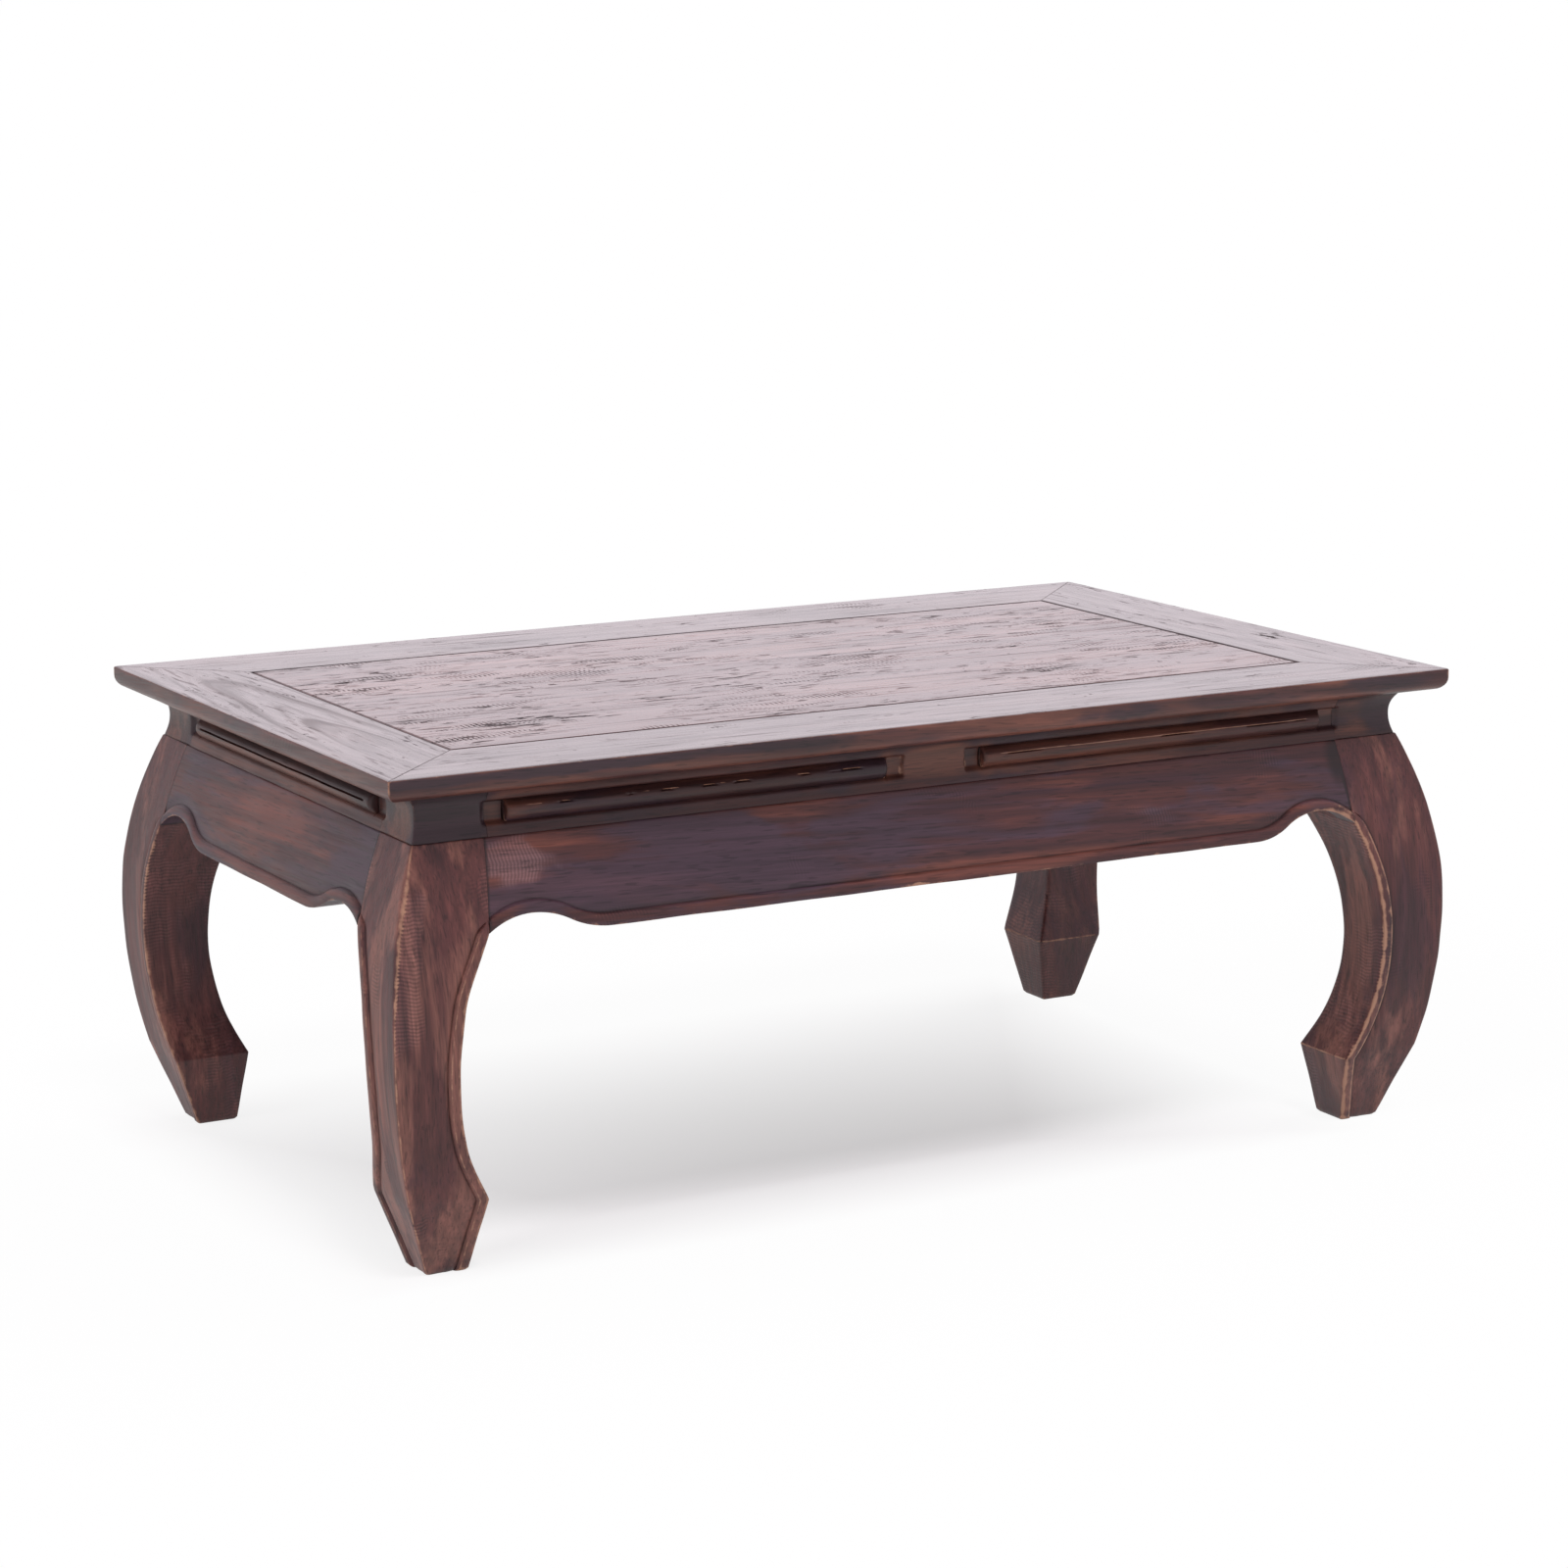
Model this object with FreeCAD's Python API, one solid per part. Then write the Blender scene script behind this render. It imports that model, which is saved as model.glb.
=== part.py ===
import FreeCAD
import Part
import math
import os

# Overall size of the table, in millimetres
table_length = 1000.0
table_width = 605.0
table_height = 405.0

# Fits and cutting overrun
joint_clearance = 0.2
overrun = 3.0

# Mitred top frame
top_thickness = 22.0
rail_width = 92.5
lip_flat = 8.0

# Splines hidden in the mitres
spline_thickness = 4.0
spline_length = 60.0
spline_width = 24.0
spline_drop = 4.0

# Floating panel of boards, front to back
panel_thickness = 12.0
panel_gap = 1.2
tongue_thickness = 4.0
tongue_length = 8.0
tongue_drop = 5.0
board_shares = (0.265, 0.325, 0.205, 0.205)

# Battens under the panel
batten_width = 32.0
batten_depth = 16.0
batten_tenon_thickness = 6.0
batten_tenon_length = 18.0
batten_tenon_lift = 2.0
batten_shoulder = 4.0
batten_place_shares = (-0.31, 0.0, 0.31)

# Recessed waist under the top
waist_height = 37.0
waist_foot_inset = 32.5
waist_face_inset = 36.5
waist_brow_inset = 29.0
waist_ledge = 9.0
waist_cove = 9.0
waist_thickness = 18.0
corner_block_reach = 96.0
centre_block_width = 60.0

# Half-round bars laid in the waist's pockets
pocket_depth = 6.0
bar_proud = 7.5
bar_end_gap = 17.0
bar_slack = 0.5

# Blocks rubbed in behind the waist
glue_block_length = 50.0
glue_block_size = 18.0
glue_block_gap = 12.0

# Swelling aprons
apron_height = 75.5
apron_thickness = 26.0
arch_rise = 19.5
arch_fall = 14.0
arch_reach = 36.0
ogee_reach = 69.0
apron_tenon_height = 36.0
apron_tenon_length = 18.0
apron_tenon_drop = 4.0
apron_tenon_cheek = 1.2

# Bead along the aprons' lower edge and the legs' inner edges
bead_width = 9.5
bead_height = 1.8

# Leg profile: distance in from the top's edge, and height
shoulder_inset = 31.5
shoulder_inner_inset = 92.0
belly_inset = -0.5
belly_height = 195.0
ankle_inset = 14.5
ankle_height = 67.0
foot_outer_inset = 38.5
foot_inner_inset = 74.0
hoof_inset = 83.5
hoof_height = 62.0
shank_inset = 59.5
shank_height = 165.0
knee_inset = 84.5
leg_tenon_size = 27.0
leg_tenon_entry = 9.0

# Pegs that lock the apron tenons
peg_diameter = 6.0
peg_end_depth = 1.0

# Levels worked out from the sizes above
top_underside = table_height - top_thickness
shoulder_height = top_underside - waist_height
apron_bottom = shoulder_height - apron_height
peak_height = apron_bottom + arch_rise
knee_height = peak_height - arch_fall
panel_underside = table_height - panel_thickness
tongue_top = table_height - tongue_drop
spline_top = table_height - spline_drop
pocket_bottom = shoulder_height + waist_ledge
pocket_top = top_underside - waist_cove
pocket_floor = waist_face_inset + pocket_depth
waist_inner_inset = waist_face_inset + waist_thickness
tenon_top = shoulder_height - apron_tenon_drop
tenon_bottom = tenon_top - apron_tenon_height
leg_tenon_top = top_underside + leg_tenon_entry
leg_centre_inset = (shoulder_inset + shoulder_inner_inset) / 2
outside = belly_inset - bead_height - overrun
blank_depth = shoulder_inner_inset + hoof_inset
lip_radius = top_thickness - lip_flat
half_length = table_length / 2
half_width = table_width / 2
batten_places = [share * table_length for share in batten_place_shares]

# Sides and corners in turning order, each a quarter turn after the last
side_names = ("front", "right", "back", "left")
corner_names = ("front_left", "front_right", "back_right", "back_left")
long_side_ends = {"front": ("left", "right"), "back": ("right", "left")}


# Outlines and prisms

def spot(plane, across, up):
    places = {"xy": (across, up, 0), "xz": (across, 0, up), "yz": (0, across, up)}
    return FreeCAD.Vector(*places[plane])


def bow(tip, end, upright=True):
    # Middle of the arc from tip to end that leaves the tip upright or level
    across = end[0] - tip[0]
    along = end[1] - tip[1]
    if not upright:
        across, along = along, across
    radius = (across ** 2 + along ** 2) / (2 * abs(across))
    half_turn = math.asin(along / radius) / 2
    mid_across = math.copysign(radius * (1 - math.cos(half_turn)), across)
    mid_along = radius * math.sin(half_turn)
    if not upright:
        mid_across, mid_along = mid_along, mid_across
    return (tip[0] + mid_across, tip[1] + mid_along)


def prism(plane, path, start, end):
    # A step is a point, or an arc as its middle and its end
    edges = []
    here = path[0]
    for step in path[1:] + [path[0]]:
        is_arc = isinstance(step[0], tuple)
        goal = step[1] if is_arc else step
        first = spot(plane, *here)
        last = spot(plane, *goal)
        if is_arc:
            edges.append(Part.Arc(first, spot(plane, *step[0]), last).toShape())
        else:
            edges.append(Part.LineSegment(first, last).toShape())
        here = goal
    normals = {"xy": FreeCAD.Vector(0, 0, 1), "xz": FreeCAD.Vector(0, 1, 0), "yz": FreeCAD.Vector(1, 0, 0)}
    face = Part.Face(Part.Wire(edges))
    face.translate(normals[plane] * start)
    return face.extrude(normals[plane] * (end - start))


def block(x_range, y_range, z_range):
    corner = FreeCAD.Vector(x_range[0], y_range[0], z_range[0])
    spans = [high - low for low, high in (x_range, y_range, z_range)]
    return Part.makeBox(*spans, corner)


def widened(span, by):
    return (span[0] - by, span[1] + by)


def turned(shape, name, names):
    degrees = names.index(name) * 360 / len(names)
    copy = shape.copy()
    copy.rotate(FreeCAD.Vector(0, 0, 0), FreeCAD.Vector(0, 0, 1), degrees)
    return copy


def half_sizes(side):
    # Half the side's own run, and half the table across it
    if side in long_side_ends:
        return half_length, half_width
    return half_width, half_length


def at_side(shape, side):
    return turned(shape, side, side_names)


def at_corner(shape, corner):
    copy = turned(shape, corner, corner_names)
    x = -half_length if corner.endswith("left") else half_length
    y = -half_width if corner.startswith("front") else half_width
    copy.translate(FreeCAD.Vector(x, y, 0))
    return copy


def save(name, shape):
    shape = shape.removeSplitter()
    if len(shape.Solids) == 1:
        shape = shape.Solids[0]
    shape.exportStep(f"parts/{name}.step")
    print(f"{name}: solids {len(shape.Solids)}, volume {shape.Volume:.0f}, valid {shape.isValid()}")


# Curves shared by the legs and the aprons

def bulge_inset(height):
    # Inset of the swelling face above the belly
    rise = shoulder_height - belly_height
    swell = shoulder_inset - belly_inset
    radius = (rise ** 2 + swell ** 2) / (2 * swell)
    return belly_inset + radius - math.sqrt(radius ** 2 - (height - belly_height) ** 2)


def seam_inset(height):
    # Inset of the slanted seam between leg and apron
    share = (height - knee_height) / (shoulder_height - knee_height)
    return knee_inset + share * (shoulder_inner_inset - knee_inset)


def outer_bulge(lift):
    shoulder = (shoulder_inset - lift, shoulder_height)
    belly = (belly_inset - lift, belly_height)
    return [shoulder, (bow(belly, shoulder), belly)]


def outer_leg(lift):
    belly = (belly_inset - lift, belly_height)
    ankle = (ankle_inset - lift, ankle_height)
    foot = (foot_outer_inset - lift, 0)
    return outer_bulge(lift) + [(bow(belly, ankle), ankle), foot]


def inner_leg(trim):
    foot = (foot_inner_inset - trim, 0)
    hoof = (hoof_inset - trim, hoof_height)
    shank = (shank_inset - trim, shank_height)
    knee = (knee_inset - trim, knee_height)
    return [foot, hoof, (bow(shank, hoof), shank), (bow(shank, knee), knee)]


def apron_edge(half_run, lift, grow):
    # Cusped lower edge from seam to seam, lifted for the bead's upper line
    top = shoulder_height + grow
    seam = (half_run - knee_inset + grow, knee_height + lift)
    peak = (half_run - knee_inset - arch_reach, peak_height + lift)
    flat = (peak[0] - ogee_reach, apron_bottom + lift)
    middle = ((peak[0] + flat[0]) / 2, (peak[1] + flat[1]) / 2)
    right = [
        (half_run - shoulder_inner_inset + grow, top),
        seam,
        (bow(peak, seam, False), peak),
        (bow(peak, middle, False), middle),
        (bow(flat, middle, False), flat),
    ]

    def mirrored(place):
        return (-place[0], place[1])

    left = [
        mirrored(flat),
        (mirrored(bow(flat, middle, False)), mirrored(middle)),
        (mirrored(bow(peak, middle, False)), mirrored(peak)),
        (mirrored(bow(peak, seam, False)), mirrored(seam)),
        (-half_run + shoulder_inner_inset - grow, top),
    ]
    return right + left


# Places of the apron tenons and their pegs, as insets from the edges
tenon_span = (
    bulge_inset(tenon_top) + apron_tenon_cheek,
    bulge_inset(tenon_bottom) - bead_height + apron_thickness - apron_tenon_cheek,
)
tenon_rise = (tenon_bottom, tenon_top)
tenon_tip = seam_inset(tenon_bottom) - apron_tenon_length
peg_inset = tenon_tip + apron_tenon_length / 2
peg_heights = (tenon_top - apron_tenon_height / 4, tenon_bottom + apron_tenon_height / 4)
peg_start = tenon_span[0] - peg_diameter / 2
peg_length = seam_inset(tenon_bottom) - peg_end_depth - peg_start


def peg(along, height, diameter):
    # A peg in a leg's corner, along X or Y
    places = {"y": (peg_inset, peg_start, height), "x": (peg_start, peg_inset, height)}
    axes = {"y": FreeCAD.Vector(0, 1, 0), "x": FreeCAD.Vector(1, 0, 0)}
    return Part.makeCylinder(diameter / 2, peg_length, FreeCAD.Vector(*places[along]), axes[along])


def corner_pegs(diameter):
    return [peg("y", peg_heights[0], diameter), peg("x", peg_heights[1], diameter)]


# Legs and what sits on their shoulders

def leg_stub(clearance):
    span = widened((leg_centre_inset - leg_tenon_size / 2, leg_centre_inset + leg_tenon_size / 2), clearance)
    return block(span, span, (shoulder_height, leg_tenon_top + clearance))


def leg():
    body = outer_leg(bead_height) + inner_leg(0) + [(shoulder_inner_inset, shoulder_height)]
    shape = prism("xz", body, outside, blank_depth).common(prism("yz", body, outside, blank_depth))
    skin = outer_leg(0) + [(outside, 0), (outside, shoulder_height)]
    bead_end = knee_height + bead_width
    window = [(outside, 0)] + inner_leg(bead_width) + [
        (seam_inset(bead_end), bead_end),
        (blank_depth, bead_end),
        (blank_depth, shoulder_height),
        (outside, shoulder_height),
    ]
    faces = {"xz": "yz", "yz": "xz"}
    for skin_plane, window_plane in faces.items():
        skin_slab = prism(skin_plane, skin, outside, blank_depth)
        shape = shape.cut(skin_slab.common(prism(window_plane, window, outside, blank_depth)))
    mortise = widened(tenon_span, joint_clearance)
    entry = (tenon_tip - joint_clearance, blank_depth)
    rise = widened(tenon_rise, joint_clearance)
    shape = shape.cut(block(entry, mortise, rise)).cut(block(mortise, entry, rise))
    for hole in corner_pegs(peg_diameter):
        shape = shape.cut(hole)
    return shape.fuse(leg_stub(0))


def waist_section(inner_inset):
    face_top = (waist_face_inset, pocket_top)
    brow = (waist_brow_inset, top_underside)
    return [
        (waist_foot_inset, shoulder_height),
        (waist_face_inset, pocket_bottom),
        face_top,
        (bow(face_top, brow), brow),
        (inner_inset, top_underside),
        (inner_inset, shoulder_height),
    ]


def waist_corner():
    section = waist_section(corner_block_reach)
    shape = prism("xz", section, 0, corner_block_reach).common(prism("yz", section, 0, corner_block_reach))
    return shape.cut(leg_stub(joint_clearance))


# Waist strips and their bars, made for the front and turned

def pocket_runs(half_run, is_long):
    end = half_run - corner_block_reach
    if not is_long:
        return [(-end, end)]
    return [(-end, -centre_block_width / 2), (centre_block_width / 2, end)]


def waist_strip(half_run, half_depth, is_long):
    end = half_run - corner_block_reach
    shape = prism("yz", waist_section(waist_inner_inset), -end, end)
    for run in pocket_runs(half_run, is_long):
        shape = shape.cut(block(run, (outside, pocket_floor), (pocket_bottom, pocket_top)))
    shape.translate(FreeCAD.Vector(0, -half_depth, 0))
    return shape


def bar(run, half_depth):
    low = (pocket_floor, pocket_bottom + bar_slack)
    high = (pocket_floor, pocket_top - bar_slack)
    crown = (pocket_floor - bar_proud, (pocket_bottom + pocket_top) / 2)
    shape = prism("yz", [low, (crown, high)], run[0] + bar_end_gap, run[1] - bar_end_gap)
    shape.translate(FreeCAD.Vector(0, -half_depth, 0))
    return shape


def glue_blocks(half_run, half_depth):
    back = -half_depth + waist_inner_inset
    blocks = []
    end = half_run - corner_block_reach - glue_block_gap
    start = end - glue_block_length
    rise = (top_underside - glue_block_size, top_underside)
    for run in ((-end, -start), (start, end)):
        blocks.append(block(run, (back, back + glue_block_size), rise))
    return blocks


# Aprons, made for the front and turned

def apron(half_run, half_depth):
    inner_belly = (belly_inset - bead_height + apron_thickness, belly_height)
    inner_shoulder = (shoulder_inset - bead_height + apron_thickness, shoulder_height)
    band = outer_bulge(bead_height) + [inner_belly, (bow(inner_belly, inner_shoulder), inner_shoulder)]
    shape = prism("yz", band, -half_run, half_run)
    shape = shape.common(prism("xz", apron_edge(half_run, 0, 0), outside, blank_depth))
    skin = outer_bulge(0) + [(outside, belly_height), (outside, shoulder_height)]
    window = prism("xz", apron_edge(half_run, bead_width, overrun), outside, blank_depth)
    shape = shape.cut(prism("yz", skin, -half_run, half_run).common(window))
    root = half_run - shoulder_inner_inset - overrun
    tip = half_run - tenon_tip
    for run in ((-tip, -root), (root, tip)):
        shape = shape.fuse(block(run, tenon_span, tenon_rise))
    for side, height in zip((-1, 1), peg_heights):
        start = FreeCAD.Vector(side * (half_run - peg_inset), peg_start, height)
        shape = shape.cut(Part.makeCylinder(peg_diameter / 2, peg_length, start, FreeCAD.Vector(0, 1, 0)))
    shape.translate(FreeCAD.Vector(0, -half_depth, 0))
    return shape


# Top frame, panel and battens

def mitre_spline(clearance):
    centre = FreeCAD.Vector(rail_width / 2, rail_width / 2, 0)
    run = widened((-spline_length / 2, spline_length / 2), clearance)
    span = widened((-spline_width / 2, spline_width / 2), clearance)
    shape = block(run, span, widened((spline_top - spline_thickness, spline_top), clearance))
    shape.rotate(FreeCAD.Vector(0, 0, 0), FreeCAD.Vector(0, 0, 1), 45)
    shape.translate(centre)
    return shape


def batten_tenon(place, clearance):
    run = (place - batten_width / 2 + batten_shoulder, place + batten_width / 2 - batten_shoulder)
    reach = half_width - rail_width + batten_tenon_length + clearance
    low = top_underside + batten_tenon_lift
    rise = (low, low + batten_tenon_thickness)
    return block(widened(run, clearance), (-reach, reach), widened(rise, clearance))


def rail(name):
    half_run, half_depth = half_sizes(name)
    lip_top = (0, table_height - lip_flat)
    lip_foot = (lip_radius, top_underside)
    section = [
        (0, table_height),
        lip_top,
        (bow(lip_top, lip_foot), lip_foot),
        (rail_width, top_underside),
        (rail_width, table_height),
    ]
    mitres = [
        (-half_run, 0),
        (half_run, 0),
        (half_run - rail_width, rail_width),
        (rail_width - half_run, rail_width),
    ]
    shape = prism("yz", section, -half_run, half_run)
    shape = shape.common(prism("xy", mitres, 0, table_height + overrun))
    groove = (rail_width - tongue_length - joint_clearance, rail_width + overrun)
    rise = widened((tongue_top - tongue_thickness, tongue_top), joint_clearance)
    shape = shape.cut(block((-half_run, half_run), groove, rise))
    shape.translate(FreeCAD.Vector(0, -half_depth, 0))
    shape = at_side(shape, name)
    for corner in corner_names:
        shape = shape.cut(at_corner(mitre_spline(joint_clearance), corner))
        shape = shape.cut(at_corner(leg_stub(joint_clearance), corner))
    if name in long_side_ends:
        for place in batten_places:
            shape = shape.cut(batten_tenon(place, joint_clearance))
    return shape


def panel_boards():
    half_panel = half_length - rail_width - panel_gap
    half_depth = half_width - rail_width - panel_gap
    tongue_reach = panel_gap + tongue_length
    tongue_rise = (tongue_top - tongue_thickness, tongue_top)
    boards = []
    near = -half_depth
    for index, share in enumerate(board_shares):
        far = near + share * 2 * half_depth
        is_first = index == 0
        is_last = index == len(board_shares) - 1
        tongue_near = near - tongue_reach if is_first else near
        tongue_far = far + tongue_reach if is_last else far
        body = block((-half_panel, half_panel), (near, far), (panel_underside, table_height))
        run = widened((-half_panel, half_panel), tongue_reach)
        boards.append(body.fuse(block(run, (tongue_near, tongue_far), tongue_rise)))
        near = far
    return boards


def batten(place):
    reach = half_width - rail_width
    run = (place - batten_width / 2, place + batten_width / 2)
    body = block(run, (-reach, reach), (panel_underside - batten_depth, panel_underside))
    return body.fuse(batten_tenon(place, 0))


os.makedirs("parts", exist_ok=True)

for corner in corner_names:
    save(f"leg_{corner}", at_corner(leg(), corner))
    save(f"waist_corner_{corner}", at_corner(waist_corner(), corner))
    save(f"mitre_spline_{corner}", at_corner(mitre_spline(0), corner))

for side in side_names:
    half_run, half_depth = half_sizes(side)
    is_long = side in long_side_ends
    save(f"top_rail_{side}", rail(side))
    save(f"apron_{side}", at_side(apron(half_run, half_depth), side))
    save(f"waist_{side}", at_side(waist_strip(half_run, half_depth, is_long), side))
    runs = pocket_runs(half_run, is_long)
    ends = long_side_ends.get(side, ("",))
    for run, end in zip(runs, ends):
        name = f"waist_bar_{side}_{end}" if end else f"waist_bar_{side}"
        save(name, at_side(bar(run, half_depth), side))

for number, shape in enumerate(panel_boards(), 1):
    save(f"panel_board_{number}", shape)

for number, place in enumerate(batten_places, 1):
    save(f"panel_batten_{number}", batten(place))

pegs = [at_corner(shape, corner) for corner in corner_names for shape in corner_pegs(peg_diameter)]
save("apron_pegs", Part.makeCompound(pegs))

blocks = [at_side(shape, side) for side in side_names for shape in glue_blocks(*half_sizes(side))]
save("waist_glue_blocks", Part.makeCompound(blocks))
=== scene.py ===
import functools
import math

import bmesh
import bpy
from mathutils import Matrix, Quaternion, Vector, noise


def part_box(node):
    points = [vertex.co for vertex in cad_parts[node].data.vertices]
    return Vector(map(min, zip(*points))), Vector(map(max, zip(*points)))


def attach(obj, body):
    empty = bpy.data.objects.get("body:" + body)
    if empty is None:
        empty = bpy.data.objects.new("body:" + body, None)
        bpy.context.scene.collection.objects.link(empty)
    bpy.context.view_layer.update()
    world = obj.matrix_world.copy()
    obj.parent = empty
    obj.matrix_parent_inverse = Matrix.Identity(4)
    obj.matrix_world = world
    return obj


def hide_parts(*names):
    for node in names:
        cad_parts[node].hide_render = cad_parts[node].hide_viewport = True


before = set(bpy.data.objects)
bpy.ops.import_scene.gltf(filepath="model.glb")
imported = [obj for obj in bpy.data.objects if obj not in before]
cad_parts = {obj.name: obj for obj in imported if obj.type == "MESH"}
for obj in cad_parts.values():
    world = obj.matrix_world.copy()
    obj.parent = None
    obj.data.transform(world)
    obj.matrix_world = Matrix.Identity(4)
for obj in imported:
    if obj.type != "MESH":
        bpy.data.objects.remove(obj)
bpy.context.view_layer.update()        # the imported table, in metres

mm = 0.001
sideAxis = {"front": "x", "right": "y", "back": "x", "left": "y"}  # the way each side's pieces run
corners = {"front_left": (-1, -1), "front_right": (1, -1), "back_right": (1, 1), "back_left": (-1, 1)}
# the second mark darkens: painted shade in hollows, gaps and under the top and lip, with some dirt in the
# joints
markNames = ("worn", "grime", "hatch", "tone")
roundShare = 0.29        # how far in the middle of a rounded arris lies, as a share of its radius

railLow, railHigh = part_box("top_rail_front")
halfLength = railHigh.x / mm
halfWidth = -railLow.y / mm
railWidth = (railHigh.y - railLow.y) / mm
topHeight = railHigh.z / mm
topUnder = railLow.z / mm
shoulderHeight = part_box("waist_front")[0].z / mm
halfRun = {"front": halfLength, "right": halfWidth, "back": halfLength, "left": halfWidth}
print("frame loaded:", len(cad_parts), "nodes")


def linearColour(hexText):
    parts = [int(hexText[i:i + 2], 16) / 255 for i in (1, 3, 5)]
    return [c / 12.92 if c <= 0.04045 else ((c + 0.055) / 1.055) ** 2.4 for c in parts] + [1.0]


# the node, its settings, the output that is used and the sockets that values fill in turn
inOrder = range(5)
nodeKinds = {
    "times": ("Math", {"operation": "MULTIPLY"}, 0, inOrder),
    "timesClamped": ("Math", {"operation": "MULTIPLY", "use_clamp": True}, 0, inOrder),
    "timesPlus": ("Math", {"operation": "MULTIPLY_ADD"}, 0, inOrder),
    "larger": ("Math", {"operation": "MAXIMUM"}, 0, inOrder),
    "wave": ("Math", {"operation": "SINE"}, 0, inOrder),
    "ramp": ("MapRange", {}, 0, inOrder),
    "softRamp": ("MapRange", {"interpolation_type": "SMOOTHSTEP"}, 0, inOrder),
    "blend": ("Mix", {"data_type": "RGBA"}, 2, (0, 6, 7)),
    "shade": ("Mix", {"data_type": "RGBA", "blend_type": "MULTIPLY"}, 2, (0, 6, 7)),
    "vectorTimes": ("VectorMath", {"operation": "MULTIPLY"}, 0, inOrder),
    "vectorLength": ("VectorMath", {"operation": "LENGTH"}, 1, inOrder),
    "ringNoise": ("TexNoise", {"noise_dimensions": "1D"}, 0, inOrder),
    "sawLines": ("TexWave", {"bands_direction": "Y"}, 0, inOrder),
    "place": ("TexCoord", {}, 3, inOrder),
    "grain": ("Attribute", {"attribute_name": "grain"}, 1, inOrder),
}
for mark in markNames:
    nodeKinds[mark] = ("Attribute", {"attribute_name": mark}, 2, inOrder)


def addNode(tree, kind, *values):
    # values fill the sockets in turn, or one dictionary names them; hex text is a colour
    name, settings, out, order = nodeKinds.get(kind, (kind, {}, 0, inOrder))
    node = tree.nodes.new("ShaderNode" + name)
    for setting, value in settings.items():
        setattr(node, setting, value)
    sockets = values[0] if values and isinstance(values[0], dict) else dict(zip(order, values))
    for socket, value in sockets.items():
        if isinstance(value, bpy.types.NodeSocket):
            tree.links.new(value, node.inputs[socket])
        else:
            node.inputs[socket].default_value = linearColour(value) if isinstance(value, str) else value
    return node.outputs[out] if node.outputs else node


def newMaterial(name):
    material = bpy.data.materials.new(name)
    material.use_nodes = True
    material.node_tree.nodes.clear()
    return material, functools.partial(addNode, material.node_tree)


def wobble(place, size, seed):
    # smooth unevenness between -1 and 1 left by hand tools; place and size in millimetres
    return noise.noise(Vector(place) / size + Vector((seed, 1.7 * seed, 0.6 * seed)))


def smoothStep(low, high, value):
    share = min(1.0, max(0.0, (value - low) / (high - low)))
    return share * share * (3 - 2 * share)


def hump(run, value):
    # rises between the first two values of the run and falls between the last two
    return smoothStep(run[0], run[1], value) * (1 - smoothStep(run[2], run[3], value))


def spread(low, high, count):
    return [low + (high - low) * i / count for i in range(count + 1)]


def bothWays(stations):
    # the stations of one half, mirrored about the middle
    return [-station for station in reversed(stations)] + [0.0] + stations


def sidePoint(side, along, inset, height):
    # a point counted from the middle of a side, inwards and up, in millimetres
    x, y = {"front": (along, inset - halfWidth), "right": (halfLength - inset, along),
            "back": (-along, halfWidth - inset), "left": (inset - halfLength, -along)}[side]
    return Vector((x, y, height)) * mm


def cornerPoint(corner, p, q, height):
    # a point counted inwards from both outer faces of a corner
    sx, sy = corners[corner]
    return Vector((sx * (halfLength - p), sy * (halfWidth - q), height)) * mm


def roundedArris(face, radius, turns):
    # from the middle of a corner's arris round to one face; each turn is an angle and its wear
    half = []
    for angle, worn in turns:
        turn = math.radians(angle)
        half.append((face + radius * (1 - math.cos(turn)), face + radius * (1 - math.sin(turn)), worn, 0.0))
    return half


def mirrored(half):
    return half + [(q, p, worn, grime) for p, q, worn, grime in reversed(half[1:-1])]


def sweepOutline(form, outlines):
    # closed outlines of (point, worn, darkening, hatch, tone), extruded from station to station; the
    # darkening is painted shade with some dirt
    layers = [form.verts.layers.float.new(name) for name in markNames]
    loop = [form.verts.new(mark[0]) for mark in outlines[0]]
    firstEdges = [form.edges.new((loop[i - 1], loop[i])) for i in range(len(loop))]
    edges = firstEdges
    for number, outline in enumerate(outlines):
        if number > 0:
            made = bmesh.ops.extrude_edge_only(form, edges=edges)["geom"]
            fresh = {part for part in made if isinstance(part, bmesh.types.BMVert)}
            nextLoop = []
            for vert in loop:
                partners = [edge.other_vert(vert) for edge in vert.link_edges]
                nextLoop.append(next(other for other in partners if other in fresh))
            loop = nextLoop
            edges = [form.edges.get((loop[i - 1], loop[i])) for i in range(len(loop))]
        for vert, mark in zip(loop, outline):
            vert.co = mark[0]
            for layer, amount in zip(layers, mark[1:]):
                vert[layer] = amount
    bmesh.ops.contextual_create(form, geom=firstEdges)
    bmesh.ops.contextual_create(form, geom=edges)


def table(names, rows):
    return {place: dict(zip(names.split(), row)) for place, row in rows.items()}


grainAxes = {"x": (0, 1, 2), "y": (1, 0, 2), "z": (2, 0, 1)}


def markFigure(form, axis, log, shift, patches):
    # each point's place in its log, whose heart lies at log[0] in mm and leans by log[1]; and patches
    # (middle, reach, amount, mark) rubbed paler, or stained darker where negative, unless they name a mark
    heart, lean = log
    grain = form.verts.layers.float_vector.new("grain")
    layers = {mark: form.verts.layers.float[mark] for mark in markNames}
    first, second, third = grainAxes[axis]
    for vert in form.verts:
        along = vert.co[first]
        vert[grain] = (along + shift, vert.co[second] - heart[0] * mm + lean[0] * along,
                       vert.co[third] - heart[1] * mm + lean[1] * along)
        for middle, reach, amount, *mark in patches:
            away = sum(((vert.co[i] / mm - middle[i]) / reach[i]) ** 2 for i in range(3))
            vert[layers[mark[0] if mark else "tone"]] += amount * math.exp(-away)


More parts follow.
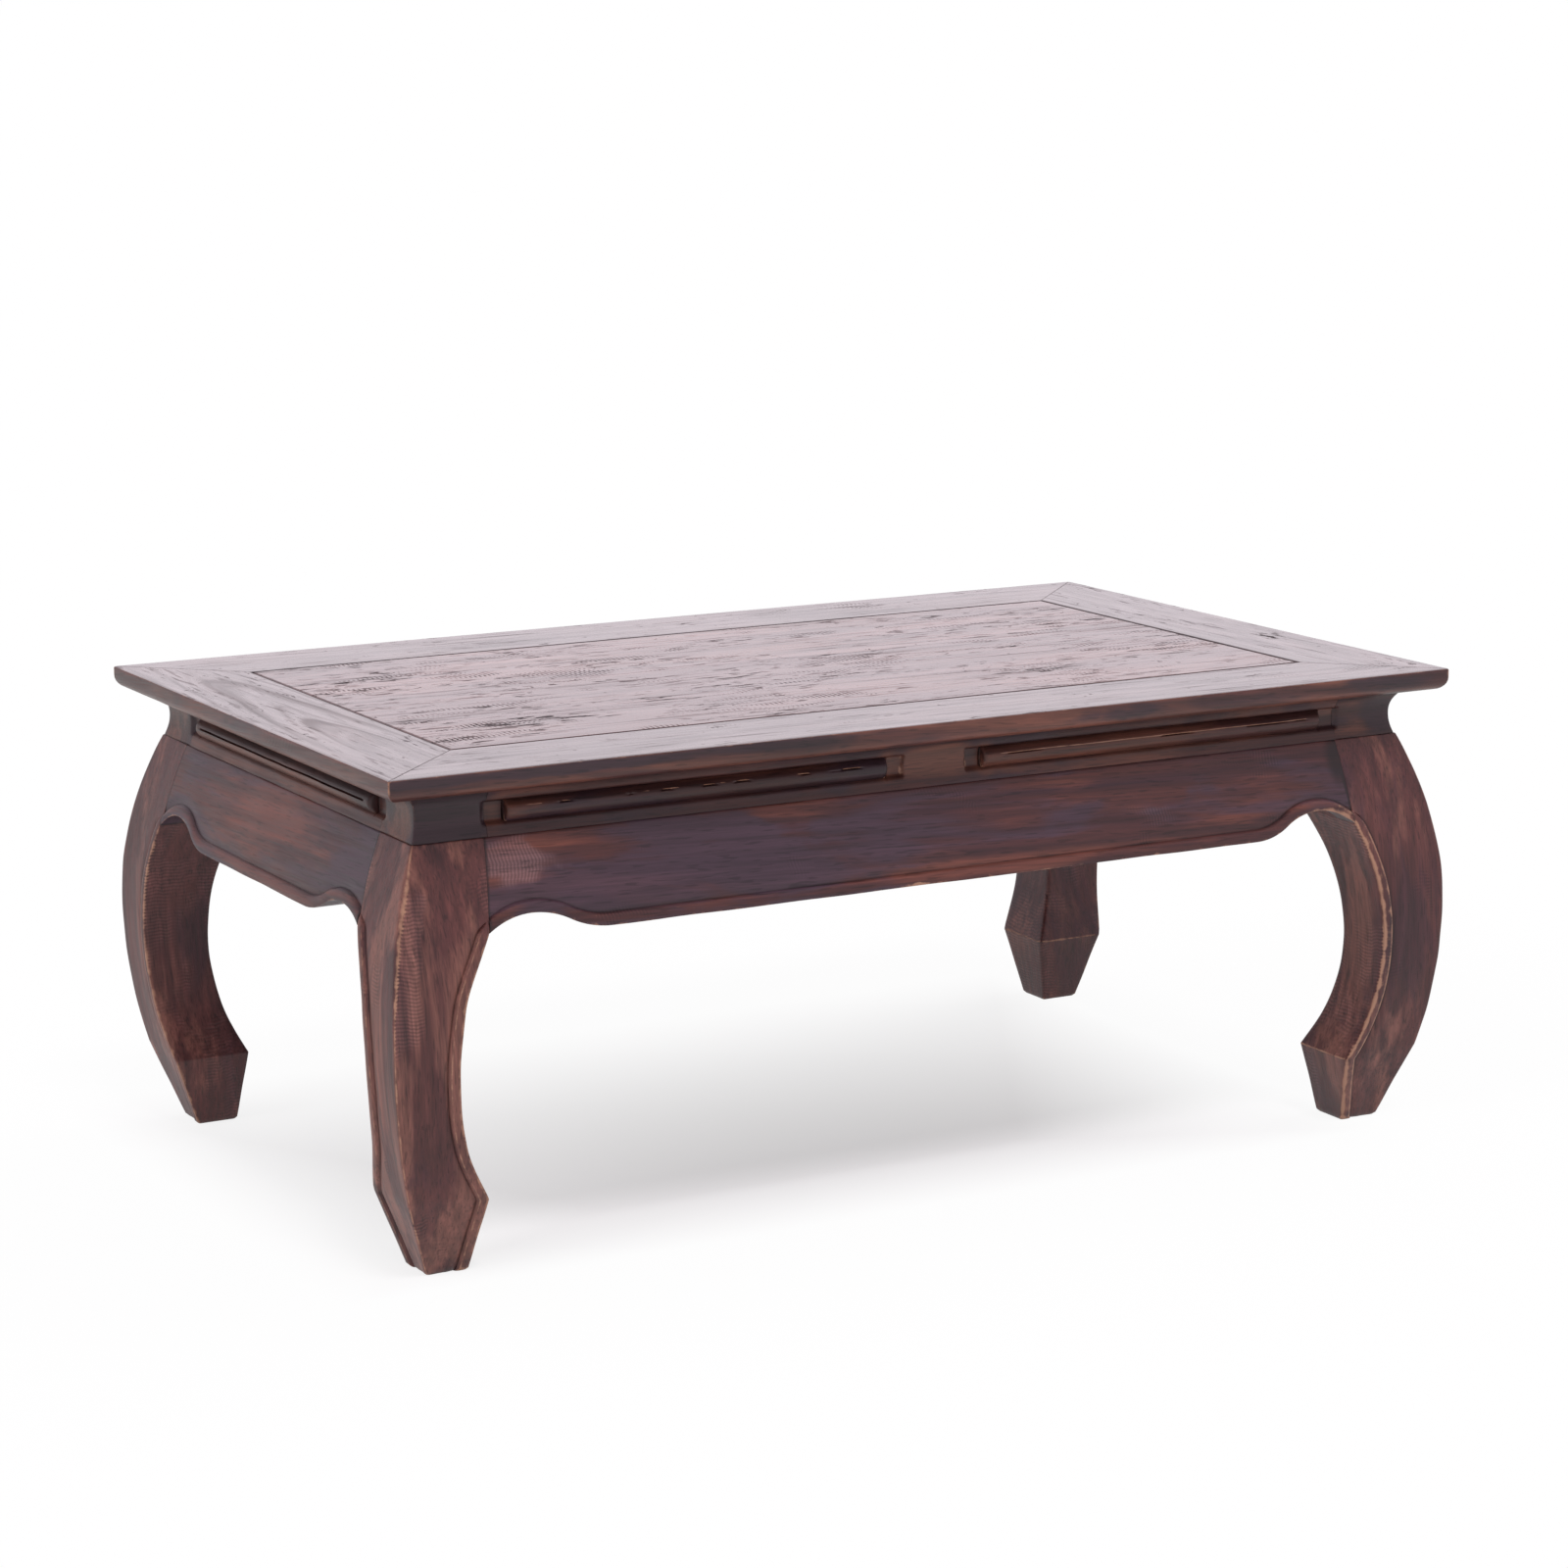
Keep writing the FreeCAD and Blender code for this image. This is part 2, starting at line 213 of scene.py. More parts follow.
def makePieces(shape, axes, patches, stations, outlineAt, capsAt=None, blocks=None, chooseSkin=None):
    # one dressed piece for each place; axes says which way its fibres run
    mergeGap = 0.012 * mm
    sharpAngle = math.radians(42)
    for number, (place, axis) in enumerate(axes.items()):
        seed, shift = [first + step * number for first, step in (shape["seed"], shape["shift"])]
        outlines = [outlineAt(place, seed, station) for station in stations[place]]
        if capsAt:
            outlines += capsAt(place, outlines[-1])
        form = bmesh.new()
        sweepOutline(form, outlines)
        for low, high in blocks[place] if blocks else ():
            made = bmesh.ops.create_cube(form, size=1.0)["verts"]
            bmesh.ops.scale(form, verts=made, vec=(high - low))
            bmesh.ops.translate(form, verts=made, vec=(low + high) / 2)
        bmesh.ops.remove_doubles(form, verts=form.verts, dist=mergeGap)
        bmesh.ops.dissolve_degenerate(form, edges=form.edges, dist=mergeGap)
        bmesh.ops.recalc_face_normals(form, faces=form.faces)
        markFigure(form, axis, shape["log"][place], shift, patches.get(place, ()))
        for face in form.faces:
            face.smooth = True
            if chooseSkin:
                face.material_index = chooseSkin(face)
        for edge in form.edges:
            edge.smooth = edge.calc_face_angle(0) < sharpAngle
        mesh = bpy.data.meshes.new(shape["piece"] + place)
        form.to_mesh(mesh)
        form.free()
        piece = bpy.data.objects.new(shape["piece"] + place, mesh)
        bpy.context.scene.collection.objects.link(piece)
        for skin in shape["skins"]:
            mesh.materials.append(skin)
        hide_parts(shape["node"] + place)
        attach(piece, "root")


def noiseFields(add, grain, patterns):
    # each pattern: length along the grain and width across it in mm, octaves, bend and slide
    octaveShare = 0.55
    fields = {}
    for field, (length, width, detail, bend, slide) in patterns.items():
        scale = (1 / (length * mm), 1 / (width * mm), 1 / (width * mm))
        scaled = add("Mapping", {"Vector": grain, "Location": (slide, slide, -slide), "Scale": scale})
        fields[field] = add("TexNoise", {"Vector": scaled, "Scale": 1.0, "Detail": detail,
                                         "Roughness": octaveShare, "Distortion": bend})
    return fields


# Plantation hardwood, shaped by hand and machine, wiped unevenly with a dark plum-brown stain and waxed:
# the eye sees red-brown streaks along the grain, dark clouds of stain, fine plane chatter across it, bare tan
# wood on the rubbed edges, and painted shade with some black wax in the hollows, joints and under the top
def stainedWood(name, look):
    material, add = newMaterial(name)
    grain = add("grain")
    marks = {mark: add(mark) for mark in markNames}
    fields = noiseFields(add, grain, look["patterns"])

    # growth figure from dark to middle, warm where the stain was rubbed thin
    colour = add("blend", add("ramp", fields["figure"], *look["figureRamp"]), look["dark"], look["middle"])
    thin = add("timesPlus", marks["tone"], look["toneShift"], fields["glow"])
    thin = add("timesPlus", fields["streak"], look["streakInGlow"], thin)
    colour = add("blend", add("softRamp", thin, *look["glowRamp"]), colour, look["warm"])

    # stain clouds, broken up along the grain by the streaks
    cloud = add("timesPlus", fields["streak"], look["streakInStain"], fields["stain"])
    cloud = add("timesPlus", marks["tone"], -look["toneShift"], cloud)
    colour = add("blend", add("softRamp", cloud, *look["stainRamp"]), colour, look["stain"])

    # streaks and pores along the fibres
    streak = add("ramp", fields["streak"], *look["streakRamp"])
    tone = add("times", streak, add("ramp", fields["fibre"], *look["fibreRamp"]))
    pore = add("ramp", fields["pore"], *look["poreRamp"])
    tone = add("times", tone, pore)

    # plane chatter: ripples across the grain, in patches and where the piece is marked for it
    phase = add("times", add("SeparateXYZ", grain), 2 * math.pi / (look["chatter"] * mm))
    phase = add("timesPlus", fields["glow"], look["chatterSway"], phase)
    patch = add("timesPlus", marks["hatch"], look["hatchInPatch"], fields["patch"])
    patch = add("softRamp", patch, *look["patchRamp"])
    ripple = add("times", add("wave", phase), patch)
    tone = add("times", tone, add("timesPlus", ripple, look["chatterTone"], 1.0))
    dusty = add("timesClamped", add("times", patch, marks["hatch"]), look["dustShare"])
    colour = add("blend", dusty, colour, look["dust"])
    colour = add("shade", 1.0, colour, add("CombineColor", tone, tone, tone))

    # painted shade in the hollows, gaps and under the top, with some wax and dirt in the joints, in patches
    shadeAndDirt = add("timesPlus", fields["patch"], look["patchInShadeAndDirt"], marks["grime"])
    colour = add("blend", add("softRamp", shadeAndDirt, *look["shadeAndDirtRamp"]), colour, look["grime"])

    # rubbed edges, notched by the chatter and patchy
    rubbed = add("timesPlus", fields["chip"], look["chipInWear"], marks["worn"])
    rubbed = add("timesPlus", ripple, look["chatterInWear"], rubbed)
    rubbed = add("softRamp", rubbed, *look["wearRamp"])
    colour = add("blend", rubbed, colour, look["wear"])

    # duller on fibres and rubbed edges; fibres, ripples and pores lift the surface
    rough = add("timesPlus", fields["fibre"], look["fibreDull"], look["roughness"] - look["fibreDull"] / 2)
    rough = add("timesPlus", rubbed, look["wearDull"], rough)
    lift = add("timesPlus", fields["fibre"], look["fibreLift"], fields["streak"])
    lift = add("timesPlus", ripple, look["chatterLift"], lift)
    lift = add("timesPlus", pore, look["poreLift"], lift)
    bump = add("Bump", {"Strength": look["bump"], "Distance": look["bumpDepth"] * mm, "Height": lift})
    shader = add("BsdfPrincipled", {"Base Color": colour, "Roughness": rough, "IOR": look["mirror"],
                                    "Coat Weight": look["waxCoat"], "Coat Roughness": look["coatRoughness"],
                                    "Normal": bump})
    add("OutputMaterial", shader)
    return material


# the fibres of the real wood are near a third of a millimetre wide, drawn at about a millimetre so that
# they show; a ramp is (from low, from high, to low, to high)
legLook = {
    "patterns": {
        "figure": (320, 20, 3, 0.7, 0.0), "glow": (230, 34, 3, 0.4, 3.1), "stain": (190, 58, 4, 0.6, 5.3),
        "streak": (210, 7, 4, 0.3, 7.7), "fibre": (50, 1.6, 2, 0.0, 9.2), "pore": (18, 1.6, 0, 0.0, 11.4),
        "patch": (75, 42, 3, 0.3, 13.6), "chip": (9, 9, 3, 0.0, 15.2),
    },
    # the near-black darkening colour paints shade, with some dirt in the joints
    "dark": "#432425", "middle": "#5b3431", "warm": "#84584c", "stain": "#3a2026", "wear": "#a98069",
    "grime": "#160c0e", "dust": "#80605f", "dustShare": 0.2, "figureRamp": (0.32, 0.68),
    "toneShift": 0.13, "streakInGlow": 0.3, "glowRamp": (0.62, 0.82, 0.0, 0.6),
    "streakInStain": 0.25, "stainRamp": (0.66, 0.8, 0.0, 0.85),
    "streakRamp": (0.34, 0.66, 0.74, 1.28), "fibreRamp": (0.3, 0.7, 0.82, 1.2),
    "poreRamp": (0.64, 0.72, 1.0, 0.65),
    "chatter": 3.0, "chatterSway": 30.0, "chatterTone": 0.26, "hatchInPatch": 0.3, "patchRamp": (0.61, 0.73),
    "patchInShadeAndDirt": 0.9, "shadeAndDirtRamp": (0.75, 1.5, 0.0, 0.85),
    "chipInWear": 1.3, "chatterInWear": 0.12, "wearRamp": (1.3, 1.8, 0.0, 0.9),
    "roughness": 0.5, "fibreDull": 0.3, "wearDull": 0.12,
    "fibreLift": 0.5, "chatterLift": 0.35, "poreLift": 0.5,
    "bump": 0.4, "bumpDepth": 0.5, "mirror": 1.44, "waxCoat": 0.06, "coatRoughness": 0.32,
}
apronLook = dict(legLook, dark="#392127", middle="#502c28", warm="#7f493b", stain="#3f2f3b", dust="#86686b",
                 dustShare=0.55, glowRamp=(0.64, 0.84, 0.0, 0.5), stainRamp=(0.6, 0.74, 0.0, 0.85),
                 streakRamp=(0.34, 0.66, 0.78, 1.22), wearRamp=(1.4, 1.9, 0.0, 0.9),
                 roughness=0.46, waxCoat=0.03)
waistLook = dict(legLook, dark="#321a1a", middle="#462723", warm="#6c4334", stain="#2f1f26",
                 glowRamp=(0.66, 0.86, 0.0, 0.6), stainRamp=(0.58, 0.72, 0.0, 0.9), patchRamp=(0.66, 0.78),
                 wearRamp=(1.4, 1.9, 0.0, 0.9), roughness=0.46, waxCoat=0.04)
lipLook = dict(legLook, dark="#3a2122", middle="#59332e", warm="#6e4334", stain="#2e2028",
               stainRamp=(0.6, 0.74, 0.0, 0.85), patchRamp=(0.65, 0.77),
               wearRamp=(1.5, 2.0, 0.0, 0.9), roughness=0.42)
legWood = stainedWood("stainedHardwoodLegs", legLook)
apronWood = stainedWood("stainedHardwoodAprons", apronLook)
waistWood = stainedWood("stainedHardwoodWaist", waistLook)
lipWood = stainedWood("stainedHardwoodLip", lipLook)
print("stained woods mixed")


# The same hardwood sawn, planed and waxed to a gloss as a table top: at a low angle the wax shows the pale
# room, broken by dull dark scrapes, rows of saw ticks and the flat-sawn figure
def waxedTopWood(name, look):
    material, add = newMaterial(name)
    grain = add("grain")
    cleaner = add("tone")
    figured = add("hatch")
    fields = noiseFields(add, grain, look["patterns"])

    # growth rings round the heart of the log, swaying along it
    acrossLog = (0.0, 1.0, 1.0)
    distance = add("vectorLength", add("vectorTimes", grain, acrossLog))
    distance = add("timesPlus", fields["sway"], look["ringSway"] * mm, distance)
    rings = add("times", distance, 1 / (look["ringWidth"] * mm))
    rings = add("ringNoise", {"W": rings, "Scale": 1.0, "Detail": look["ringDetail"],
                              "Roughness": look["ringRough"]})
    colour = add("blend", add("ramp", rings, *look["figureRamp"]), look["dark"], look["middle"])
    colour = add("blend", add("softRamp", fields["cloud"], *look["cloudRamp"]), colour, look["warm"])
    streak = add("ramp", fields["streak"], *look["streakRamp"])
    colour = add("shade", 1.0, colour, add("CombineColor", streak, streak, streak))

    # dull marks: scrapes in clusters, rows of saw ticks, open grain lines, a few gouges, painted shade in the
    # gaps and dirt at the mitres
    shifted = {}
    for field, shift in look["cleanShift"].items():
        shifted[field] = add("timesPlus", cleaner, shift, fields[field])
    cluster = add("softRamp", shifted["cluster"], *look["clusterRamp"])
    scrape = add("times", add("softRamp", shifted["scrape"], *look["scrapeRamp"]), cluster)
    phase = add("times", add("SeparateXYZ", grain), 2 * math.pi / (look["sawTick"] * mm))
    phase = add("timesPlus", fields["streak"], look["tickSway"], phase)
    tick = add("ramp", add("wave", phase), *look["tickRamp"])
    tick = add("times", tick, add("softRamp", fields["row"], *look["rowRamp"]))
    tick = add("times", tick, add("softRamp", shifted["sawn"], *look["sawnRamp"]))
    marks = add("larger", scrape, tick)
    marks = add("larger", marks, add("softRamp", fields["line"], *look["lineRamp"]))
    marks = add("larger", marks, add("softRamp", fields["gouge"], *look["gougeRamp"]))
    marks = add("times", marks, add("ramp", shifted["depth"], *look["depthRamp"]))
    marks = add("larger", marks, add("grime"))
    ringDark = add("times", add("softRamp", rings, *look["ringDarkRamp"]), figured)
    marks = add("larger", marks, ringDark)
    colour = add("blend", marks, colour, look["scrape"])

    # wax worn off by the marks and thin on the soft rings and streaks
    dull = add("ramp", marks, *look["dullRamp"])
    dull = add("timesPlus", fields["streak"], look["streakDull"], dull)
    ringDepth = add("ramp", figured, *look["ringDepthRamp"])
    wax = add("ramp", marks, *look["waxRamp"])
    wax = add("times", wax, add("ramp", rings, *look["softRing"], ringDepth, 1.0))
    wax = add("times", wax, add("ramp", fields["streak"], *look["waxStreakRamp"]))
    lift = add("timesPlus", fields["fibre"], look["fibreLift"], fields["streak"])
    lift = add("timesPlus", marks, look["markLift"], lift)
    bump = add("Bump", {"Strength": look["bump"], "Distance": look["bumpDepth"] * mm, "Height": lift})
    shader = add("BsdfPrincipled", {"Base Color": colour, "Roughness": dull, "IOR": look["mirror"],
                                    "Coat Weight": wax, "Coat Roughness": look["coatRoughness"],
                                    "Coat IOR": look["coatMirror"], "Normal": bump})
    add("OutputMaterial", shader)
    return material


topLook = {
    "patterns": {
        "sway": (260, 70, 2, 0.0, 0.7), "streak": (300, 6.0, 3, 0.3, 2.2), "fibre": (40, 1.6, 1, 0.0, 4.1),
        "scrape": (24, 5.0, 3, 0.3, 6.4), "cluster": (150, 45, 3, 0.5, 8.8), "row": (90, 12, 2, 0.2, 10.3),
        "sawn": (150, 75, 3, 0.4, 12.9), "gouge": (15, 10, 3, 0.6, 15.1), "cloud": (220, 60, 3, 0.4, 17.7),
        "depth": (70, 30, 3, 0.3, 19.3), "line": (260, 4.5, 2, 0.2, 21.9),
    },
    "dark": "#4f2f31", "middle": "#6a4343", "warm": "#81534c", "scrape": "#1d1114",
    "ringWidth": 9.0, "ringSway": 26, "ringDetail": 2.0, "ringRough": 0.6, "figureRamp": (0.3, 0.7),
    "cloudRamp": (0.45, 0.68, 0.0, 0.7), "streakRamp": (0.3, 0.7, 0.7, 1.3),
    "cleanShift": {"cluster": -0.1, "scrape": -0.03, "sawn": -0.1, "depth": -0.08},
    "clusterRamp": (0.44, 0.54), "scrapeRamp": (0.575, 0.615), "sawTick": 4.5, "tickSway": 6.0,
    "tickRamp": (0.1, 0.8), "rowRamp": (0.5, 0.56), "sawnRamp": (0.53, 0.6),
    "lineRamp": (0.59, 0.68, 0.0, 0.55),
    "gougeRamp": (0.685, 0.71), "depthRamp": (0.35, 0.65, 0.35, 1.0), "ringDarkRamp": (0.5, 0.36, 0.0, 0.16),
    "dullRamp": (0.0, 1.0, 0.22, 0.8), "streakDull": 0.1, "waxRamp": (0.0, 1.0, 1.0, 0.0),
    "ringDepthRamp": (0.0, 1.0, 0.92, 0.2), "softRing": (0.35, 0.58), "waxStreakRamp": (0.3, 0.6, 0.66, 1.0),
    "fibreLift": 0.3, "markLift": -0.8, "bump": 0.25, "bumpDepth": 0.3, "mirror": 1.5,
    "coatRoughness": 0.2, "coatMirror": 1.58,
}
frameLook = dict(topLook, dark="#514344", middle="#6b5a5c", warm="#756060")
topWood = waxedTopWood("waxedHardwoodTop", topLook)
frameWood = waxedTopWood("waxedHardwoodFrame", frameLook)
print("top wood mixed")

# Softer sawn timber inside the table, left bare: pale brown, with saw lines across the grain
sawnLook = {"pale": "#8a6647", "dark": "#5b402c", "bandWidth": 5.0, "bandLength": 160.0, "bandDetail": 4.0,
            "sawLine": 3.0, "sawSway": 1.5, "sawDetail": 2.0, "bump": 0.3,
            "bumpDepth": 0.4, "roughness": 0.75}
bareWood, add = newMaterial("bareSawnWood")
bareParts = ("panel_batten", "mitre_spline", "apron_pegs", "waist_glue")
waveUnit = math.pi / 10  # the wave node's own line spacing
barePlace = add("place")
bandSizes = (sawnLook["bandWidth"], sawnLook["bandLength"], sawnLook["bandWidth"])
bands = add("Mapping", {"Vector": barePlace, "Scale": [1 / (size * mm) for size in bandSizes]})
bands = add("TexNoise", {"Vector": bands, "Scale": 1.0, "Detail": sawnLook["bandDetail"]})
sawLines = add("sawLines", {"Vector": barePlace, "Scale": waveUnit / (sawnLook["sawLine"] * mm),
                            "Distortion": sawnLook["sawSway"], "Detail": sawnLook["sawDetail"]})
bareBump = add("Bump", {"Strength": sawnLook["bump"], "Distance": sawnLook["bumpDepth"] * mm,
                        "Height": sawLines})
bareColour = add("blend", bands, sawnLook["dark"], sawnLook["pale"])
add("OutputMaterial", add("BsdfPrincipled", {"Base Color": bareColour, "Roughness": sawnLook["roughness"],
                                             "Normal": bareBump}))
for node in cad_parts:
    if node.startswith(bareParts):
        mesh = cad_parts[node].data
        mesh.materials.clear()
        mesh.materials.append(bareWood)
print("inner pieces given bare wood")


def bowAt(tip, end, height):
    # inset at a height on the arc that leaves tip upright and passes through end
    across = end[0] - tip[0]
    rise = end[1] - tip[1]
    radius = (across ** 2 + rise ** 2) / (2 * abs(across))
    return tip[0] + math.copysign(radius - math.sqrt(radius ** 2 - (height - tip[1]) ** 2), across)


def lineAt(low, high, height):
    return low[0] + (high[0] - low[0]) * (height - low[1]) / (high[1] - low[1])


# Legs: (inset, height) of the profile's turning points, in millimetres; a run is where something fades in
# and, with four values, out again
legShape = {
    "shoulder": (31.5, shoulderHeight), "belly": (-0.5, 195.0), "ankle": (14.5, 67.0), "footOut": (38.5, 0.0),
    "footIn": (74.0, 0.0), "hoof": (83.5, 62.0), "shank": (59.5, 165.0), "knee": (84.5, 276.0),
    "seam": (92.0, shoulderHeight), "mostProud": -2.2, "slimRun": (62.0, 110, 220, 276.0),
    "beadWidth": 9.5, "beadHeight": 1.6, "beadArris": 1.4, "seamArris": 0.5, "seamSet": 0.7,
    "valley": 1.5, "valleyWidth": 6.5, "hollow": 0.35, "valleyFall": 0.25, "valleyShade": 0.2,
    "arris": 2.2, "arrisTurns": ((45, 1.0), (60, 0.8), (75, 0.4), (90, 0.15)), "arrisEase": 2.5,
    "arrisWobble": 0.35, "arrisSize": 22, "broadRun": (205, 265, 318, 340),
    "footChamfer": 1.4, "chamferTop": 2.0, "footWear": 0.5, "footWearRun": (0.5, 4.0), "creaseReach": 2.4,
    "innerWear": (0.2, 0.6), "insideEdge": 1.5, "insideHatch": 0.5, "chatterRun": (170, 210, 300, 340),
    "chatterReach": (16, 30), "handWork": 0.45, "handSize": 34, "handRun": (0, 30, 300, 340),
    "calmReach": (14, 3), "calmRun": (250, 270), "stub": (48.4, 75.1), "stubTop": 391.8,
    "middle": 62, "shoulderEase": 0.985, "shoulderDirt": 0.6,
    "piece": "carved_leg_", "node": "leg_", "slot": "leg_wood", "skins": [legWood], "seed": (3.0, 11),
    "shift": (2.0, 1.9),
    "log": {corner: ((sx * 470, sy * 240), (0.05, -0.04)) for corner, (sx, sy) in corners.items()},
}
# what sets each leg apart: how broad its outer arris is planed, wear on hoof and bead and at most, plane
# chatter, and how broad the leg and how slim its shank is
legTraits = table("broadArris hoofWear beadWear mostWorn chatter broad slim", {
    "front_left": (4.5, 0.8, 0.15, 1.0, 0.75, 1.0, 5.0), "front_right": (0.6, 1.2, 0.35, 1.3, 0.0, 1.1, 1.0),
    "back_right": (1.5, 1.2, 0.1, 1.0, 0.0, 1.0, 2.0), "back_left": (1.0, 0.5, 0.2, 1.0, 0.0, 1.0, 1.0),
})


def outerFace(height):
    if height >= legShape["belly"][1]:
        return bowAt(legShape["belly"], legShape["shoulder"], min(height, shoulderHeight))
    if height >= legShape["ankle"][1]:
        return bowAt(legShape["belly"], legShape["ankle"], height)
    return lineAt(legShape["footOut"], legShape["ankle"], height)


def innerFace(height):
    if height >= legShape["knee"][1]:
        return lineAt(legShape["knee"], legShape["seam"], height)
    if height >= legShape["shank"][1]:
        return bowAt(legShape["shank"], legShape["knee"], height)
    if height >= legShape["hoof"][1]:
        return bowAt(legShape["shank"], legShape["hoof"], height)
    return lineAt(legShape["footIn"], legShape["hoof"], height)


def legOutline(corner, seed, height):
    # half an outline from the outer arris to the inner corner, then the same mirrored
    shape = legShape
    trait = legTraits[corner]
    chamfer = shape["footChamfer"] * (1 - smoothStep(0, shape["chamferTop"], height))
    outer = outerFace(height) + chamfer
    inner = innerFace(height) - chamfer - trait["slim"] * hump(shape["slimRun"], height)
    uneven = shape["arrisWobble"] * wobble((height, 0, 0), shape["arrisSize"], seed)
    innerArris = shape["arris"] * (1 + uneven)
    arris = innerArris + trait["broadArris"] * hump(shape["broadRun"], height)
    half = roundedArris(outer, arris, shape["arrisTurns"])

    # above the knee the bead runs out into the apron's seam
    fade = max(0.0, 1 - max(0.0, height - shape["knee"][1]) / shape["beadWidth"])
    bead = shape["beadWidth"] * fade
    raised = outer - shape["beadHeight"] * min(1.0, 2 * fade)
    deep = outer + shape["valley"] * min(1.0, 2 * fade)
    small = shape["seamArris"] + (shape["beadArris"] - shape["seamArris"]) * fade
    base = inner - (small + shape["seamSet"]) * (1 - fade)
    fieldFrom = outer + arris + shape["arrisEase"]
    fieldTo = base - bead - shape["valleyWidth"] * fade
    # the field, with painted shade deepening towards the valley
    for share in spread(0.0, 1.0, 8):
        hollow = shape["hollow"] * math.sin(math.pi * share) + shape["valleyFall"] * share * fade
        shadeAndDirt = shape["valleyShade"] * share ** 4 * fade
        half.append((fieldFrom + (fieldTo - fieldFrom) * share, outer + hollow, 0.0, shadeAndDirt))
    # the valley: shift along the face, level, wear and painted shade
    for shift, level, worn, grime in ((-2.6, outer + (deep - outer) * 0.65, 0.0, 0.4), (-0.7, deep, 0.0, 0.8),
                                      (0.3, deep + (raised - deep) * 0.62, 0.2, 0.3)):
        half.append((base - bead + shift * fade, level, worn * fade, grime * fade))
    # the bead: place, drop from its crown and wear
    for place, drop, worn in ((base - bead + 1.5 * fade, 0.25 * fade, 0.75),
                              (base - 0.65 * bead, -0.1 * fade, 0.3), (base - 0.35 * bead, -0.1 * fade, 0.3),
                              (inner - small - 0.6, 0.1 * fade, 0.7),
                              (inner - roundShare * small, roundShare * small, 1.0), (inner, small, 0.6)):
        half.append((place, raised + drop, (worn + trait["beadWear"]) * fade, 0.0))

    crease = trait["hoofWear"] * max(0.0, 1 - abs(height - shape["hoof"][1]) / shape["creaseReach"])
    for share in spread(0.08, 0.92, 6):
        half.append((inner, outer + (inner - outer) * share, crease, 0.0))
    edgeWear, cornerWear = shape["innerWear"]
    half.append((inner, inner - innerArris, edgeWear + crease, 0.0))
    half.append((inner - roundShare * innerArris, inner - roundShare * innerArris, cornerWear, 0.0))

    foot = shape["footWear"] * (1 - smoothStep(*shape["footWearRun"], height))
    calmFrom, calmTo = [inner - reach for reach in shape["calmReach"]]
    outline = []
    for p, q, worn, grime in mirrored(half):
        deepest = max(p, q)
        hatch = shape["insideHatch"] * (deepest > inner - shape["insideEdge"])
        if q < p:
            nearArris = 1 - smoothStep(*shape["chatterReach"], p - outer)
            hatch += trait["chatter"] * hump(shape["chatterRun"], height) * nearArris
        hand = shape["handWork"] * hump(shape["handRun"], height)
        hand *= 1 - smoothStep(calmFrom, calmTo, deepest) * smoothStep(*shape["calmRun"], height)
        p += hand * wobble((p, q, height), shape["handSize"], seed)
        q += hand * wobble((q, p, height), shape["handSize"], seed + 5)
        p = max(outer + (p - outer) * trait["broad"], shape["mostProud"])
        q = max(q, shape["mostProud"])
        outline.append((cornerPoint(corner, p, q, height), min(trait["mostWorn"], worn + foot), grime, hatch))
    return outline


# rubbed and stained places (middle, reach, amount), in millimetres
legPatches = {
    "front_left": [((-500, -250, 170), (20, 60, 150), 1.3), ((-490, -270, 315), (14, 16, 40), 1.6),
                   ((-440, -300, 318), (45, 25, 26), -1.5), ((-475, -302, 130), (14, 25, 60), -0.6),
                   ((-452, -302, 170), (14, 25, 60), 0.8), ((-440, -290, 34), (40, 30, 40), 1.6),
                   ((-478, -302, 240), (14, 20, 50), -0.3)],
    "front_right": [((465, -302, 190), (50, 30, 90), -1.2), ((440, -302, 318), (40, 30, 30), -0.9),
                    ((470, -302, 262), (22, 30, 26), 0.4), ((430, -270, 160), (20, 50, 110), 0.6),
                    ((406, -302, 330), (14, 30, 22), -1.2)],
    "back_right": [((440, 250, 160), (60, 80, 120), -0.2)],
    "back_left": [((-430, 230, 170), (35, 60, 150), -1.2), ((-500, 260, 250), (12, 50, 70), 0.4)],
}
# stations, closer together at the foot, the hoof's crease, the knee and the shoulder
legHeights = [0.0, 0.8, 2.0, 5.0] + spread(9, 57, 12) + [59.5, 61.0, 61.7, 62.3, 63.0, 64.5]
legHeights += spread(67, 271, 58) + spread(273.5, 287, 9) + spread(290, 342, 13)
legHeights += [shoulderHeight - 1.2, shoulderHeight - 0.4]


def legCaps(corner, lastRing):
    # the shoulder, drawn in a little, and the stub that stands in the waist
    sx, sy = corners[corner]
    middle = cornerPoint(corner, legShape["middle"], legShape["middle"], 0)
    stubFrom, stubTo = legShape["stub"]
    shoulder = []
    stubLow = []
    stubHigh = []
    for mark in lastRing:
        point, worn = mark[:2]
        eased = middle + (point - middle) * legShape["shoulderEase"]
        eased.z = shoulderHeight * mm
        shoulder.append((eased, worn, legShape["shoulderDirt"]))
        p = min(max(halfLength - sx * point.x / mm, stubFrom), stubTo)
        q = min(max(halfWidth - sy * point.y / mm, stubFrom), stubTo)
        stubLow.append((cornerPoint(corner, p, q, shoulderHeight), 0.0, 0.0))
        stubHigh.append((cornerPoint(corner, p, q, legShape["stubTop"]), 0.0, 0.0))
    return [shoulder, stubLow, stubHigh]


makePieces(legShape, dict.fromkeys(corners, "z"), legPatches, dict.fromkeys(corners, legHeights), legOutline,
           legCaps)
print("legs carved")


